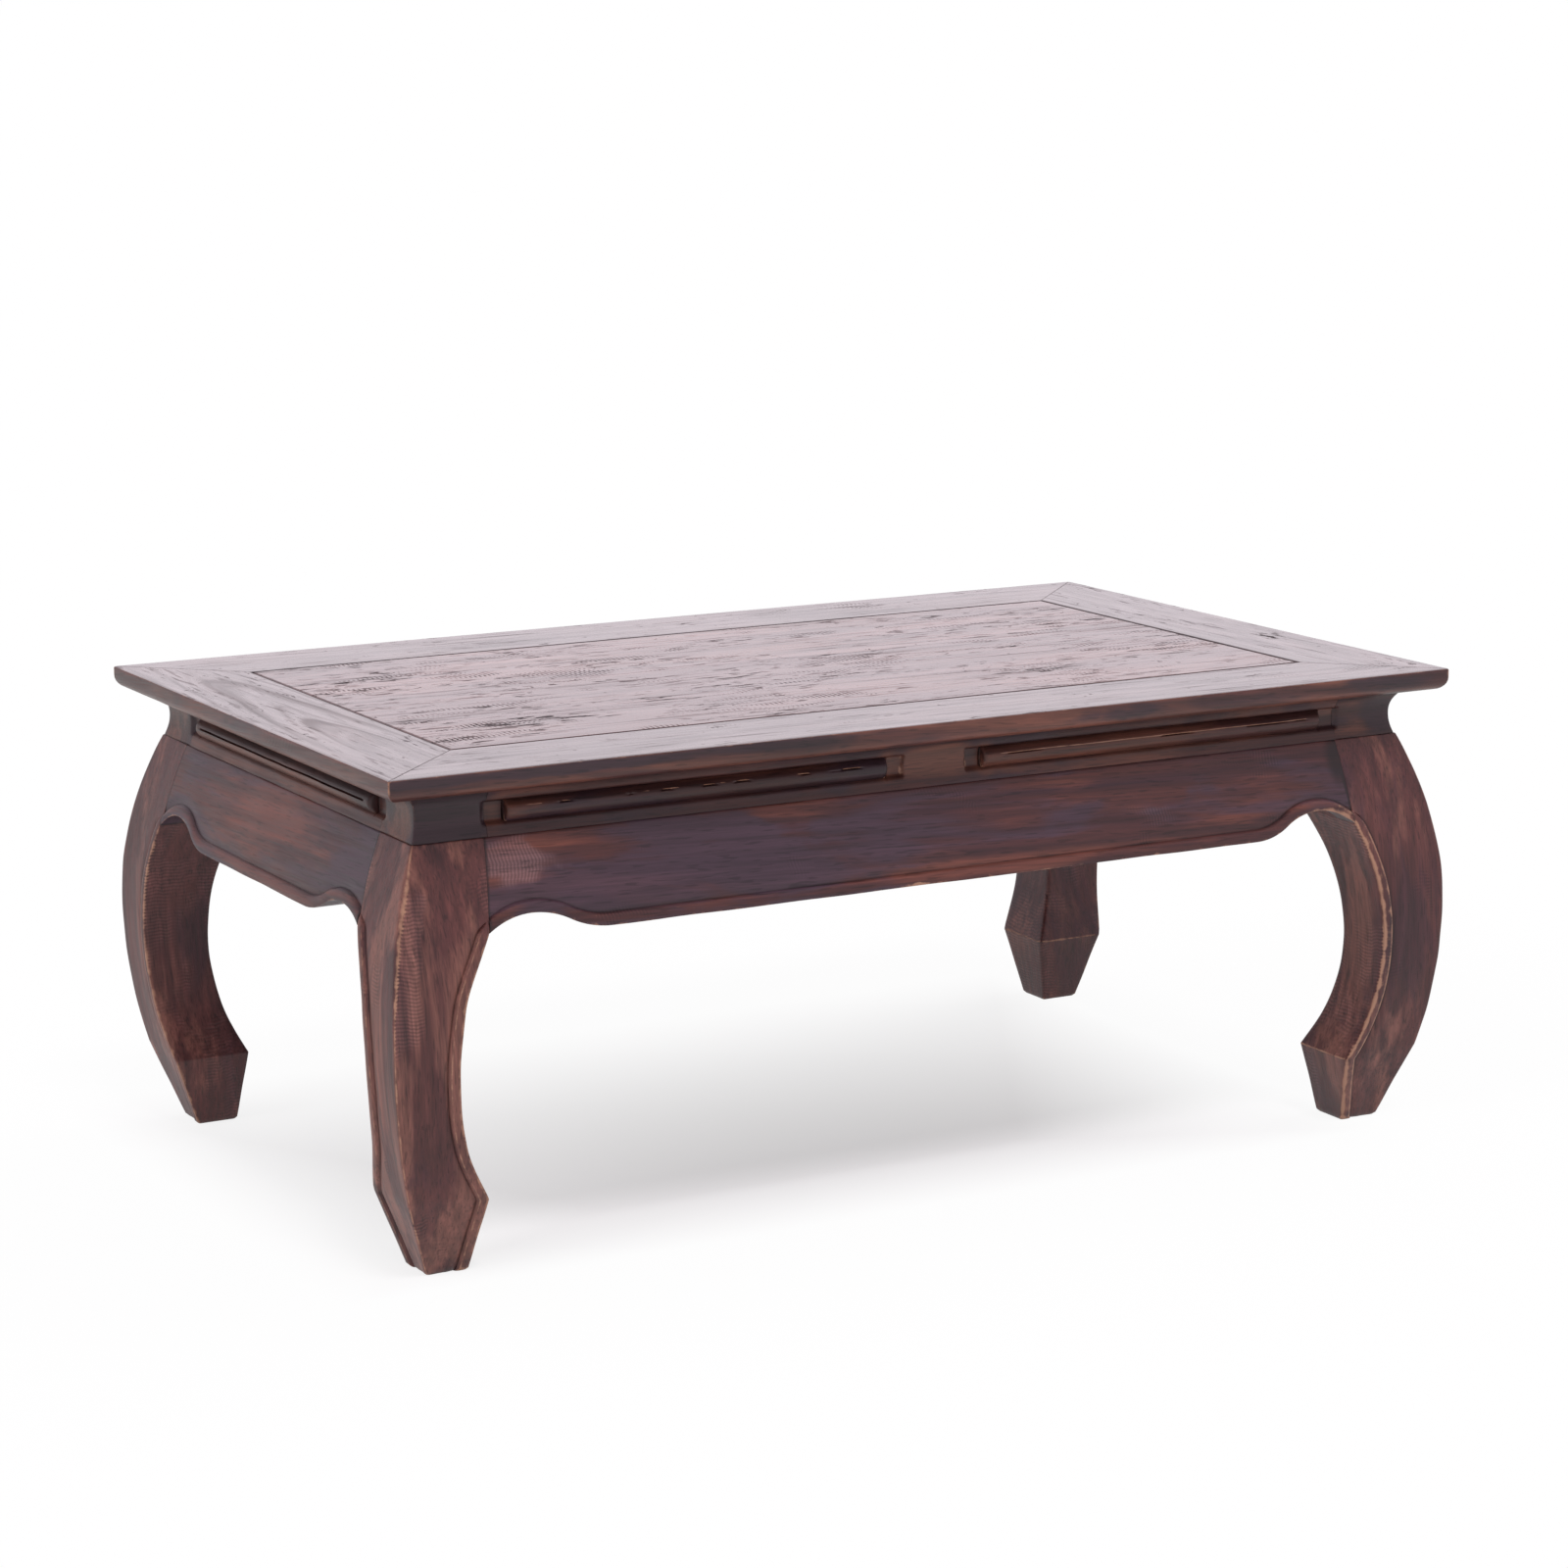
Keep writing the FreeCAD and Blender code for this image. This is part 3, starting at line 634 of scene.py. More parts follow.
# Aprons: the arched lower edge, its bead and the swelling face; two arches hang lower (side, right-hand end)
apronShape = {
    "bottom": 270.5, "peak": 290.0, "archReach": 36.0, "ogeeReach": 69.0, "thickness": 26.0, "seamGap": 0.06,
    "lowArch": {("front", False): 2.5, ("left", True): 3.0}, "beadArris": 1.3, "beadRubAndHighlight": 1.1, "rimLift": 6.5,
    "rimReach": 5.5, "rimDepth": 3, "fieldFrom": 16, "hollow": 0.2, "topDarkening": 0.15, "backEase": 1.2,
    "handWork": 0.4, "handSize": 40, "edgeWork": 0.5, "edgeSize": 55, "seamDirt": 0.9,
    "seamDirtRun": (4.0, 0.5), "station": 9, "endSteps": [0.992, 0.995, 0.998, 1.0],
    "piece": "arched_apron_", "node": "apron_", "slot": "apron_wood", "skins": [apronWood],
    "seed": (40.0, 9), "shift": (11.0, 2.3), "log": dict.fromkeys(sideAxis, ((0, 250), (0.02, 0.03))),
}


def seamInset(side, along, height):
    # where the apron meets the leg; only the front apron's right end meets the broader leg
    outer = outerFace(height)
    broad = legTraits["front_right"]["broad"] if side == "front" and along > 0 else 1.0
    return outer + (lineAt(legShape["knee"], legShape["seam"], height) - outer) * broad


def apronBottom(side, share):
    # flat, then an ogee of two arcs up to the peak, then one arc down to the leg's knee
    shape = apronShape
    kneeHeight = legShape["knee"][1]
    seam = halfRun[side] - seamInset(side, share, kneeHeight)
    away = abs(share * seam)
    top = shape["peak"] - shape["lowArch"].get((side, share > 0), 0.0)
    peak = seam - shape["archReach"]
    flat = peak - shape["ogeeReach"]
    halfRise = (top - shape["bottom"]) / 2
    halfReach = shape["ogeeReach"] / 2
    ogee = (halfReach ** 2 + halfRise ** 2) / (2 * halfRise)
    fall = top - kneeHeight
    arch = (shape["archReach"] ** 2 + fall ** 2) / (2 * fall)
    if away <= flat:
        return shape["bottom"]
    if away <= flat + halfReach:
        return shape["bottom"] + ogee - math.sqrt(ogee ** 2 - (away - flat) ** 2)
    if away <= peak:
        return top - ogee + math.sqrt(ogee ** 2 - (peak - away) ** 2)
    return top - arch + math.sqrt(arch ** 2 - (min(away, seam) - peak) ** 2)


def apronOutline(side, seed, share):
    shape = apronShape
    low = apronBottom(side, share)
    top = shoulderHeight
    bead = legShape["beadHeight"]
    deep = legShape["valley"]
    small = shape["beadArris"]
    ease = shape["backEase"]
    back = outerFace(low) + shape["thickness"]
    # inset, height, wear and darkening along the lower edge
    section = [(back - ease, low, 0.2, 0.0), (0.5 * (back + outerFace(low)), low, 0.0, 0.0),
               (outerFace(low) - bead + small + 0.7, low, 0.4, 0.0)]
    # the bead and its valley: lift above the edge, depth behind the face, wear and darkening, painted shade
    # in the valley
    for lift, depth, worn, grime in ((0.3, 0.3 * small - bead, 0.9, 0.0), (small, -bead, 0.7, 0.0),
                                     (4.6, -bead - 0.2, 0.3, 0.0), (7.8, -bead + 0.15, 0.6, 0.0),
                                     (9.2, deep - 0.62 * (deep + bead), 0.2, 0.3), (10.2, deep, 0.0, 0.75),
                                     (12.2, 0.65 * deep, 0.0, 0.2), (shape["fieldFrom"], 0.25, 0.0, 0.1)):
        section.append((outerFace(low + lift) + depth, low + lift, worn, grime))
    # up the face, darkened a little towards the top and at the top edge
    for part in spread(0.12, 0.97, 7):
        height = low + shape["fieldFrom"] + (top - low - shape["fieldFrom"]) * part
        hollow = shape["hollow"] * math.sin(math.pi * part)
        section.append((outerFace(height) + hollow, height, 0.0, shape["topDarkening"] * part ** 6))
    section += [(outerFace(top) + 0.15, top - 0.4, 0.25, 0.0), (outerFace(top) + 0.7, top, 0.0, 0.2),
                (outerFace(top) + shape["thickness"] - ease, top, 0.0, 0.0)]
    for part in spread(1.0, 0.0, 5):
        height = low + ease + (top - low - 2 * ease) * part
        section.append((outerFace(height) + shape["thickness"], height, 0.0, 0.0))
    outline = []
    calm = 1 - share ** 8    # no unevenness at the seams
    for inset, height, worn, grime in section:
        run = halfRun[side] - seamInset(side, share, height)
        along = share * (run - shape["seamGap"])
        onFace = inset < outerFace(height) + shape["rimDepth"]
        # the bead's crown is rubbed paler along its length, partly a painted highlight
        rim = onFace * max(0.0, 1 - abs(height - low - shape["rimLift"]) / shape["rimReach"])
        edgeShare = 1 - smoothStep(0, shape["fieldFrom"], height - low)
        inset += shape["handWork"] * calm * wobble((along, inset, height), shape["handSize"], seed)
        height += shape["edgeWork"] * calm * wobble((along, 0, 0), shape["edgeSize"], seed + 3) * edgeShare
        atSeam = shape["seamDirt"] * smoothStep(*shape["seamDirtRun"], (1 - abs(share)) * run)
        point = sidePoint(side, along, inset, height)
        outline.append((point, worn, max(grime, atSeam), 0.0, shape["beadRubAndHighlight"] * rim))
    return outline


# a reach of 99 takes in the piece's whole thickness
apronPatches = {
    "front": [((-385, -300, 324), (40, 99, 22), 1.0), ((-365, -300, 293), (55, 99, 9), -1.0),
              ((-380, -300, 322), (60, 99, 30), 0.9, "hatch"), ((-230, -300, 322), (90, 99, 22), -1.0),
              ((-40, -300, 312), (110, 99, 26), -0.8), ((110, -300, 284), (230, 99, 8), 1.2),
              ((130, -300, 332), (55, 99, 8), 1.5), ((215, -300, 318), (80, 99, 14), 0.3, "hatch"),
              ((396, -300, 286), (34, 99, 12), 0.5, "worn"), ((-32, -304, 272.5), (9, 99, 2.4), 1.0, "worn"),
              ((290, -300, 300), (60, 99, 12), 0.9), ((398, -300, 328), (11, 99, 28), 1.1, "grime"),
              ((-300, -300, 276), (120, 99, 12), -0.9)],
    "left": [((-500, 0, 318), (99, 110, 26), 1.4), ((-500, -190, 306), (99, 34, 26), -1.2),
             ((-500, 185, 320), (99, 30, 30), -0.9)],
    "right": [((500, 60, 310), (99, 90, 25), 0.8), ((500, -120, 318), (99, 60, 22), -0.6)],
    "back": [((150, 300, 312), (140, 99, 24), 0.9), ((-160, 300, 318), (150, 99, 24), -0.7)],
}
apronStations = {}
for side in sideAxis:
    kneeRun = halfRun[side] - legShape["knee"][0]
    archFrom = (kneeRun - apronShape["archReach"] - apronShape["ogeeReach"]) / kneeRun
    straight = spread(0.0, archFrom, int(kneeRun / apronShape["station"]))[1:]
    apronStations[side] = bothWays(straight + spread(archFrom, 0.988, 46)[1:] + apronShape["endSteps"])
makePieces(apronShape, sideAxis, apronPatches, apronStations, apronOutline)
print("aprons shaped")


# Mitred top frame with its worn lip; each rail is cut from its own part of a log
railShape = {
    "arris": 1.5, "innerArris": {"front": 1.0, "right": 1.7, "back": 1.3, "left": 1.0}, "grooveDepth": 8.4,
    "groove": (395.8, 400.2), "lipFlat": 8.0, "lipRound": 10.8, "lipTurns": (12, 26, 40, 54, 68, 80, 90),
    "lipSlope": 26.0, "lipWobble": 0.7, "wobbleSize": 48, "lipReach": 22, "mitreGap": 0.1, "mitreDip": 0.35,
    "mitreFrom": 0.9975, "cornerWear": 1.6, "cornerReach": 6, "cornerRub": 5.0, "rubReach": 5, "rubWear": 1.3,
    "mitreDirt": 0.8, "level": 0.12, "levelSize": 60, "topSkin": 1.2, "facing": 0.6,
    "piece": "mitred_rail_", "node": "top_rail_", "slot": "top_wood", "skins": [frameWood, lipWood],
    "seed": (70.0, 7), "shift": (23.0, 2.7),
    "log": {"front": ((-270, 330), (0.02, 0.05)), "right": ((430, 320), (0.03, -0.06)),
            "back": ((250, 300), (0.03, 0.04)), "left": ((-452, 383), (0.0, 0.09))},
}


def railOutline(side, seed, share):
    # inset, height, wear and darkening: up the grooved inner edge, over the top and round the lip
    shape = railShape
    low, high = shape["groove"]
    wide = railWidth
    grooved = wide - shape["grooveDepth"]
    ease = shape["innerArris"][side]
    arris = shape["arris"]
    # painted shade in the groove and down the inner edge, into the gap round the panel
    section = [(wide, topUnder, 0.0, 0.0), (wide, low, 0.0, 0.4), (grooved, low, 0.0, 1.0),
               (grooved, high, 0.0, 1.0), (wide, high, 0.0, 1.0), (wide, topHeight - ease, 0.2, 0.8),
               (wide - roundShare * ease, topHeight - roundShare * ease, 0.0, 0.9),
               (wide - ease, topHeight, 0.0, 0.5), (wide - ease - 0.8, topHeight, 0.0, 0.0)]
    section += [(wide * part, topHeight, 0.0, 0.0) for part in spread(0.94, 0.08, 12)]
    section += [(arris + 1.2, topHeight, 0.2, 0.0), (arris, topHeight - 0.05, 0.5, 0.0),
                (roundShare * arris, topHeight - roundShare * arris, 1.0, 0.0),
                (0.0, topHeight - arris, 0.5, 0.0)]
    flatEnd = topHeight - shape["lipFlat"]
    # the lip's flat band, darkened all along
    section += [(0.0, height, 0.0, 0.45) for height in (topHeight - 3.5, topHeight - 5.5, flatEnd + 0.4)]
    radius = shape["lipRound"]
    for angle in shape["lipTurns"]:
        turn = math.radians(angle)
        section.append((radius * (1 - math.cos(turn)), flatEnd - radius * math.sin(turn), 0.15, 0.0))
    # painted shade where the lip's underside runs in to the waist
    section += [(radius + 2.5, flatEnd - radius - 0.2, 0.0, 0.0), (shape["lipSlope"], topUnder, 0.0, 0.6),
                (0.5 * wide, topUnder, 0.0, 0.0)]
    outline = []
    half = halfRun[side]
    place = share * half
    atEnd = smoothStep(shape["mitreFrom"], 1.0, abs(share))
    for inset, height, worn, grime in section:
        calm = (1 - share ** 10) * max(0.0, 1 - inset / shape["lipReach"])
        uneven = max(0.0, wobble((place, 0, 0), shape["wobbleSize"], seed))
        worked = inset + calm * shape["lipWobble"] * uneven
        worked += shape["cornerWear"] * max(0.0, 1 - inset / shape["cornerReach"]) * atEnd ** 3
        dip = shape["mitreDip"] * atEnd if height > topHeight - 0.6 else 0.0
        level = 0.0
        if height > topHeight - 0.01:
            level = min(0.0, shape["level"] * wobble((place, inset, 0), shape["levelSize"], seed + 2))
        height += level - dip
        onLip = max(0.0, 1 - inset / shape["rubReach"]) * (height < topHeight - 1)
        rubbed = onLip * max(0.0, 1 - (1 - abs(share)) * half / shape["cornerRub"])
        worn = max(worn, shape["rubWear"] * rubbed)
        grime = max(grime * (1 - rubbed), shape["mitreDirt"] * atEnd ** 2 * (1 - onLip))
        along = share * (half - inset - shape["mitreGap"])
        outline.append((sidePoint(side, along, worked, height), worn, grime))
    return outline


# the lip: dark flat band, round below painted warmer and paler, as if lit from the floor; the left rail's top
# shows its figure
railPatches = {
    "front": [((-330, -302, 400), (170, 30, 4), -1.5), ((-300, -300, 390), (220, 30, 4), 1.2),
              ((60, -302, 400), (150, 30, 4), 0.5), ((330, -302, 399), (150, 30, 5), -0.6),
              ((100, -300, 389), (160, 30, 4), 0.9), ((380, -300, 388), (120, 30, 4), 0.8),
              ((-178, -229, 405), (14, 8, 2), -2.2), ((-355, -240, 405), (40, 18, 2), -0.6)],
    "left": [((-500, 0, 400), (30, 300, 4), 0.6), ((-498, 0, 389), (30, 320, 4), 1.5),
             ((-448, 40, 405), (60, 190, 3), 1.0, "hatch")],
    "right": [((500, 0, 400), (30, 300, 4), -0.8), ((498, 50, 389), (30, 200, 4), 1.0),
              ((470, -80, 405), (20, 30, 2), -1.6)],
    "back": [((0, 302, 400), (400, 30, 4), -0.6), ((-100, 300, 389), (250, 30, 4), 1.0),
             ((250, 270, 405), (30, 16, 2), -1.8)],
}
for patches in railPatches.values():
    patches.append(((0, 0, topHeight), (900, 900, 1.0), 0.9))  # the rails have fewer marks than the panel


def chooseRailSkin(face):
    onTop = face.calc_center_median().z > (topHeight - railShape["topSkin"]) * mm
    return 0 if onTop and face.normal.z > railShape["facing"] else 1


def chooseBoardSkin(face):
    return int(face.normal.z < -railShape["facing"])  # stained but not waxed below


railStations = bothWays(spread(0.0, 0.985, 46)[1:] + [0.991, 0.995, 0.9975, 0.999, 1.0])
makePieces(railShape, sideAxis, railPatches, dict.fromkeys(sideAxis, railStations), railOutline,
           chooseSkin=chooseRailSkin)
print("top frame mitred")


# Floating panel of four boards with tongues in the frame's groove
boardShape = {
    "gap": 1.5, "thickness": 12.0, "arris": 1.6, "seamArris": 0.1, "arrisEase": 0.6, "edgeShade": 0.9,
    "easedShade": 0.6, "seamGap": 0.02, "handWork": 0.12, "handSize": 55, "tongue": 8.0,
    "tongueLevels": (396.0, 400.0), "tongueShort": 0.1,
    "heartAside": 12, "heartHeight": 336, "heartStep": -14,
    "piece": "panel_plank_", "node": "panel_board_", "slot": "top_wood", "skins": [topWood, lipWood],
    "seed": (95.0, 5), "shift": (40.1, 3.1), "log": {},
}
panelHalf = halfLength - railWidth - boardShape["gap"]
panelFront = halfWidth - railWidth - boardShape["gap"]
boardEdges = {}   # front and back edge of each board
tongues = {}
tongueReach = boardShape["tongue"] + boardShape["gap"]
tongueEnd = panelHalf - boardShape["tongueShort"]
for number, board in enumerate("1234"):
    low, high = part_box("panel_board_" + board)
    front = -panelFront if board == "1" else low.y / mm + boardShape["seamGap"]
    back = panelFront if board == "4" else high.y / mm - boardShape["seamGap"]
    boardEdges[board] = (front, back)
    heartHeight = boardShape["heartHeight"] + boardShape["heartStep"] * number
    boardShape["log"][board] = ((0.5 * (front + back) + boardShape["heartAside"], heartHeight), (0.015, 0.03))
    # from and to along the panel, from and to across it
    runs = [(-panelHalf - tongueReach, -panelHalf, front, back),
            (panelHalf, panelHalf + tongueReach, front, back)]
    if board == "1":
        runs.append((-tongueEnd, tongueEnd, front - tongueReach, front))
    if board == "4":
        runs.append((-tongueEnd, tongueEnd, back, back + tongueReach))
    tongues[board] = []
    for x0, x1, y0, y1 in runs:
        z0, z1 = boardShape["tongueLevels"]
        tongues[board].append((Vector((x0, y0, z0)) * mm, Vector((x1, y1, z1)) * mm))


def boardOutline(board, seed, along):
    # inset from the middle, height, wear and darkening: up the front edge, over the top and down the back
    # edge
    shape = boardShape
    front, back = boardEdges[board]
    low = topHeight - shape["thickness"]
    more = shape["arrisEase"]
    # painted shade on the edges by the gap round the panel, and at the board ends in the groove
    frontEase, frontShade = shape["seamArris"], 0.0
    backEase, backShade = shape["seamArris"], 0.0
    if board == "1":
        frontEase, frontShade = shape["arris"], shape["edgeShade"]
    if board == "4":
        backEase, backShade = shape["arris"], shape["edgeShade"]
    frontRound = roundShare * frontEase
    backRound = roundShare * backEase
    section = [(front, low, 0.0, 0.0), (front, topHeight - frontEase, 0.0, frontShade),
               (front + frontRound, topHeight - frontRound, 0.0, frontShade),
               (front + frontEase, topHeight, 0.0, shape["easedShade"] * frontShade),
               (front + frontEase + more, topHeight, 0.0, 0.0)]
    section += [(front + (back - front) * part, topHeight, 0.0, 0.0) for part in spread(0.06, 0.94, 9)]
    section += [(back - backEase - more, topHeight, 0.0, 0.0), (back - backEase, topHeight, 0.0, 0.0),
                (back - backRound, topHeight - backRound, 0.0, shape["easedShade"] * backShade),
                (back, topHeight - backEase, 0.0, backShade), (back, low, 0.0, 0.0)]
    atEnd = float(abs(along) > panelHalf - 0.1)
    outline = []
    for place, height, worn, grime in section:
        if height > topHeight - 0.3:
            dip = shape["handWork"] * min(0.0, wobble((along, place, 0), shape["handSize"], seed))
            height += dip - shape["arris"] * atEnd
        outline.append((Vector((along, place, height)) * mm, worn, max(grime, shape["edgeShade"] * atEnd)))
    return outline


# clusters of scrapes and saw ticks
boardPatches = [((-318, 121, 405), (45, 16, 3), -2.4), ((-298, -133, 405), (45, 16, 3), -2.4),
                ((-383, -81, 405), (22, 14, 3), -2.2), ((-360, 72, 405), (40, 25, 3), -0.9),
                ((-60, -40, 405), (150, 40, 3), -0.5), ((150, 60, 405), (120, 40, 3), -0.4)]
boardStations = bothWays(spread(0.0, panelHalf - 6, 40)[1:] + [panelHalf - 2.4, panelHalf - 1.5, panelHalf])
makePieces(boardShape, dict.fromkeys(boardEdges, "x"), dict.fromkeys(boardEdges, boardPatches),
           dict.fromkeys(boardEdges, boardStations), boardOutline, blocks=tongues, chooseSkin=chooseBoardSkin)
print("panel boards laid")


# Waist under the top: hollow strips and corner blocks, and split half-round bars laid in shallow pockets
waistShape = {
    "foot": 32.5, "face": 36.5, "brow": 29.0, "browCurve": 2.4, "deepest": 364.0, "inner": 54.5, "ledge": 9.0,
    "cove": 9.0, "pocketDepth": 3.6, "reach": 96.0, "centreHalf": 29.0, "gap": 0.15, "barEnd": 17.0,
    "blockRound": 6.0, "blockArris": 1.8, "blockTurns": ((45, 0.9), (68, 0.6), (90, 0.2)), "endEase": 0.6,
    "slotDepth": 2.2, "slotHalf": 1.5, "slotShift": 0.6, "chip": 1.6, "chipSize": 5, "chipRun": (-0.6, 1.8),
    "cutReach": 5.0, "cutMiddle": 2.0, "cutWear": 0.95, "browShade": 0.8, "browShadeReach": 4.5,
    "barShade": 0.75, "footDirt": 0.15, "footWear": 0.2, "footSet": 0.25, "handWork": 0.5, "handSize": 30,
    "blockSize": 26, "blockEndShade": 0.55, "blockFootDirt": 0.8, "slot": "waist_wood", "skins": [waistWood],
}
pocketLow = shoulderHeight + waistShape["ledge"]
pocketHigh = topUnder - waistShape["cove"]
pocketRun = (pocketLow - 1.5, pocketLow + 3.5, pocketHigh - 1.5, pocketHigh + 0.4)
barShadeRun = (pocketHigh - 2.5, pocketHigh - 0.6, pocketHigh, pocketHigh + 3)
waistHeights = [shoulderHeight, shoulderHeight + 0.8] + spread(shoulderHeight + 2.5, pocketLow - 1.5, 4)
waistHeights += spread(pocketLow - 0.3, pocketLow + 4.0, 5) + spread(pocketLow + 6.5, pocketHigh - 3.0, 4)
waistHeights += spread(pocketHigh - 1.6, pocketHigh + 0.5, 4) + spread(pocketHigh + 1.8, topUnder - 1.0, 5)
waistHeights.append(topUnder)


def waistFace(height):
    # hollow that is deepest a little above the middle
    shape = waistShape
    if height <= shape["deepest"]:
        away = (shape["deepest"] - height) / (shape["deepest"] - shoulderHeight)
        return shape["face"] - (shape["face"] - shape["foot"]) * away ** 2
    away = (height - shape["deepest"]) / (topUnder - shape["deepest"])
    return shape["face"] - (shape["face"] - shape["brow"]) * away ** shape["browCurve"]


# painted shade just under the top's overhang
def browShade(height):
    return waistShape["browShade"] * smoothStep(topUnder - waistShape["browShadeReach"], topUnder, height)


def waistOutline(side, seed, along):
    shape = waistShape
    slots = [halfRun[side] - shape["reach"] - abs(along) - shape["barEnd"]]
    fromCentre = math.inf
    if sideAxis[side] == "x":
        fromCentre = abs(along) - shape["centreHalf"]
        slots.append(fromCentre - shape["barEnd"])
    slot = max(max(0.0, 1 - abs(away + shape["slotShift"]) / shape["slotHalf"]) for away in slots)
    section = [(shape["inner"], topUnder, 0.0, 0.0), (shape["inner"], shoulderHeight, 0.0, 0.0)]
    for height in waistHeights:
        # the middle block's cut ends are chipped and rubbed pale
        inPocket = hump(pocketRun, height)
        chipped = fromCentre + shape["chip"] * wobble((height, along, 0), shape["chipSize"], seed + 2)
        sunk = smoothStep(*shape["chipRun"], chipped) * inPocket
        cutEnd = max(0.0, 1 - abs(chipped - shape["cutMiddle"]) / shape["cutReach"])
        inset = waistFace(height) + shape["pocketDepth"] * sunk + shape["slotDepth"] * slot * inPocket
        atFoot = shape["footDirt"] * (1 - smoothStep(shoulderHeight, shoulderHeight + 1.5, height))
        # painted shadow over each bar under the cove, and painted shade in the slot by each bar's end
        shadeOverBar = shape["barShade"] * hump(barShadeRun, height) * sunk
        grime = max(browShade(height), shadeOverBar, atFoot, slot * inPocket)
        worn = shape["footWear"] * (1 - smoothStep(shoulderHeight, shoulderHeight + 2, height))
        worn += shape["cutWear"] * cutEnd * inPocket
        if height == shoulderHeight:
            inset += shape["footSet"]
        section.append((inset, height, worn, grime))
    outline = []
    for inset, height, worn, grime in section:
        if inset < shape["inner"]:
            inset += shape["handWork"] * wobble((along, inset, height), shape["handSize"], seed)
        outline.append((sidePoint(side, along, inset, height), worn, grime))
    return outline


waistPatches = {
    "front": [((0, -266, 366), (26, 99, 12), 2.0), ((260, -266, 352), (150, 99, 16), 1.3),
              ((-396, -262, 364), (8, 99, 12), 0.9), ((-230, -266, 350), (130, 99, 5), -0.9),
              ((-46, -262, 364), (6, 99, 12), 1.4), ((48, -262, 364), (7, 99, 12), 1.5)],
    "back": [((0, 266, 366), (26, 99, 12), 1.6), ((-200, 266, 360), (130, 99, 20), 0.7)],
    "left": [((-466, 30, 352), (99, 150, 8), 1.0), ((-466, -150, 360), (99, 60, 20), 0.6),
             ((-466, 0, 362), (99, 260, 30), 0.9)],
    "right": [((466, 0, 355), (99, 120, 12), 0.8)],
}
stripStations = {}
for side, axis in sideAxis.items():
    # closer together where the bars and the middle block end
    end = halfRun[side] - waistShape["reach"] - waistShape["gap"]
    barFrom = end - waistShape["barEnd"]
    atMiddle = []
    evenFrom = 0.0
    if axis == "x":
        atMiddle = spread(0.0, 24.0, 8)[1:] + spread(25.5, 39.0, 18) + spread(41.0, 50.0, 14)
        evenFrom = 52.0
    even = [along for along in spread(evenFrom, end - 31, int(end / 6)) if along > 0]
    atEnd = spread(end - 27, end - 20, 2) + spread(barFrom - 2.0, barFrom + 3.0, 9) + spread(end - 12, end, 6)
    stripStations[side] = bothWays(atMiddle + even + atEnd)
stripShape = dict(waistShape, piece="waist_strip_", node="waist_", seed=(120.0, 6), shift=(53.0, 2.1),
                  log=dict.fromkeys(sideAxis, ((0, 300), (0.02, 0.01))))
makePieces(stripShape, sideAxis, waistPatches, stripStations, waistOutline)


def blockOutline(corner, seed, height):
    # half an outline from the corner to the far end, rounded down into the pockets, then the same mirrored
    shape = waistShape
    reach = shape["reach"] - shape["gap"]
    atEnds = 1 - smoothStep(0, 1.0, min(height - shoulderHeight, topUnder - height))
    face = waistFace(height) + shape["endEase"] * atEnds
    half = roundedArris(face, shape["blockArris"], shape["blockTurns"])
    roundFrom = reach - shape["blockRound"]
    places = spread(face + shape["blockArris"] + 5, roundFrom, 8) + spread(roundFrom + 0.8, reach, 7)[:-1]
    for place in places + [reach - 0.15]:
        rounded = shape["pocketDepth"] * smoothStep(roundFrom, reach, place) * hump(pocketRun, height)
        # painted shade on the block's rounded end, above the pocket's foot
        shadeAndDirt = shape["blockEndShade"] * smoothStep(roundFrom + 1, reach, place)
        half.append((place, face + rounded, 0.0, shadeAndDirt * smoothStep(pocketLow + 3, pocketLow + 9, height)))
    half += [(reach, 0.5 * (face + reach) + 3, 0.0, 0.0), (reach, reach, 0.0, 0.0)]
    atFoot = shape["blockFootDirt"] * (1 - smoothStep(shoulderHeight, shoulderHeight + 1.2, height))
    outline = []
    for p, q, worn, grime in mirrored(half):
        if max(p, q) < reach - 0.1:
            across = shape["handWork"] * wobble((p, q, height), shape["blockSize"], seed)
            inward = shape["handWork"] * wobble((q, p, height), shape["blockSize"], seed + 4)
            p = min(p + across, reach)
            q = min(q + inward, reach)
        outline.append((cornerPoint(corner, p, q, height), worn, max(grime, atFoot, browShade(height))))
    return outline


blockPatches = {
    "front_left": [((-440, -268, 362), (40, 12, 30), -1.6), ((-466, -240, 362), (12, 26, 30), 2.0),
                   ((-428, -268, 356), (20, 12, 5), 0.45, "worn")],
    "front_right": [((430, -268, 358), (12, 12, 8), 0.8), ((456, -268, 364), (22, 12, 30), -1.5)],
    "back_right": [((440, 268, 360), (40, 12, 14), 0.7)],
    "back_left": [((-466, 240, 360), (12, 30, 30), 1.1)],
}
blockShape = dict(waistShape, piece="waist_block_", node="waist_corner_", seed=(150.0, 8), shift=(67.0, 1.7),
                  log={corner: ((sy * 200, 330), (0.02, 0.02)) for corner, (sx, sy) in corners.items()})
makePieces(blockShape, dict.fromkeys(corners, "x"), blockPatches, dict.fromkeys(corners, waistHeights),
           blockOutline)
print("waist strips and corner blocks hollowed")


# splits along the bars: lift and half width as shares of the half height, depth in mm, where they open, the
# size of the open stretches and how far from the ends they start, and tan glue or bare wood on their lips and
# along the bar's foot
barSplits = table("lift half depth from patch start fleckFrom lipWear footWear", {
    "left": (0.1, 0.09, 6.0, -1.4, 14, 9, 0.1, 0.55, 0.2),
    "right": (-0.15, 0.07, 3.0, -0.1, 38, 12, 0.1, 0.5, 0.2),
    "front_left": (0.3, 0.09, 1.8, 0.15, 16, 14, 0.15, 1.6, 0.7),
    "front_right": (0.2, 0.08, 1.2, 0.1, 40, 10, -0.6, 1.7, 0.5),
    "back_right": (0.1, 0.05, 1.5, 0.05, 30, 10, 0.1, 0.6, 0.3),
    "back_left": (-0.1, 0.05, 1.8, 0.0, 34, 10, 0.1, 0.6, 0.3),
})
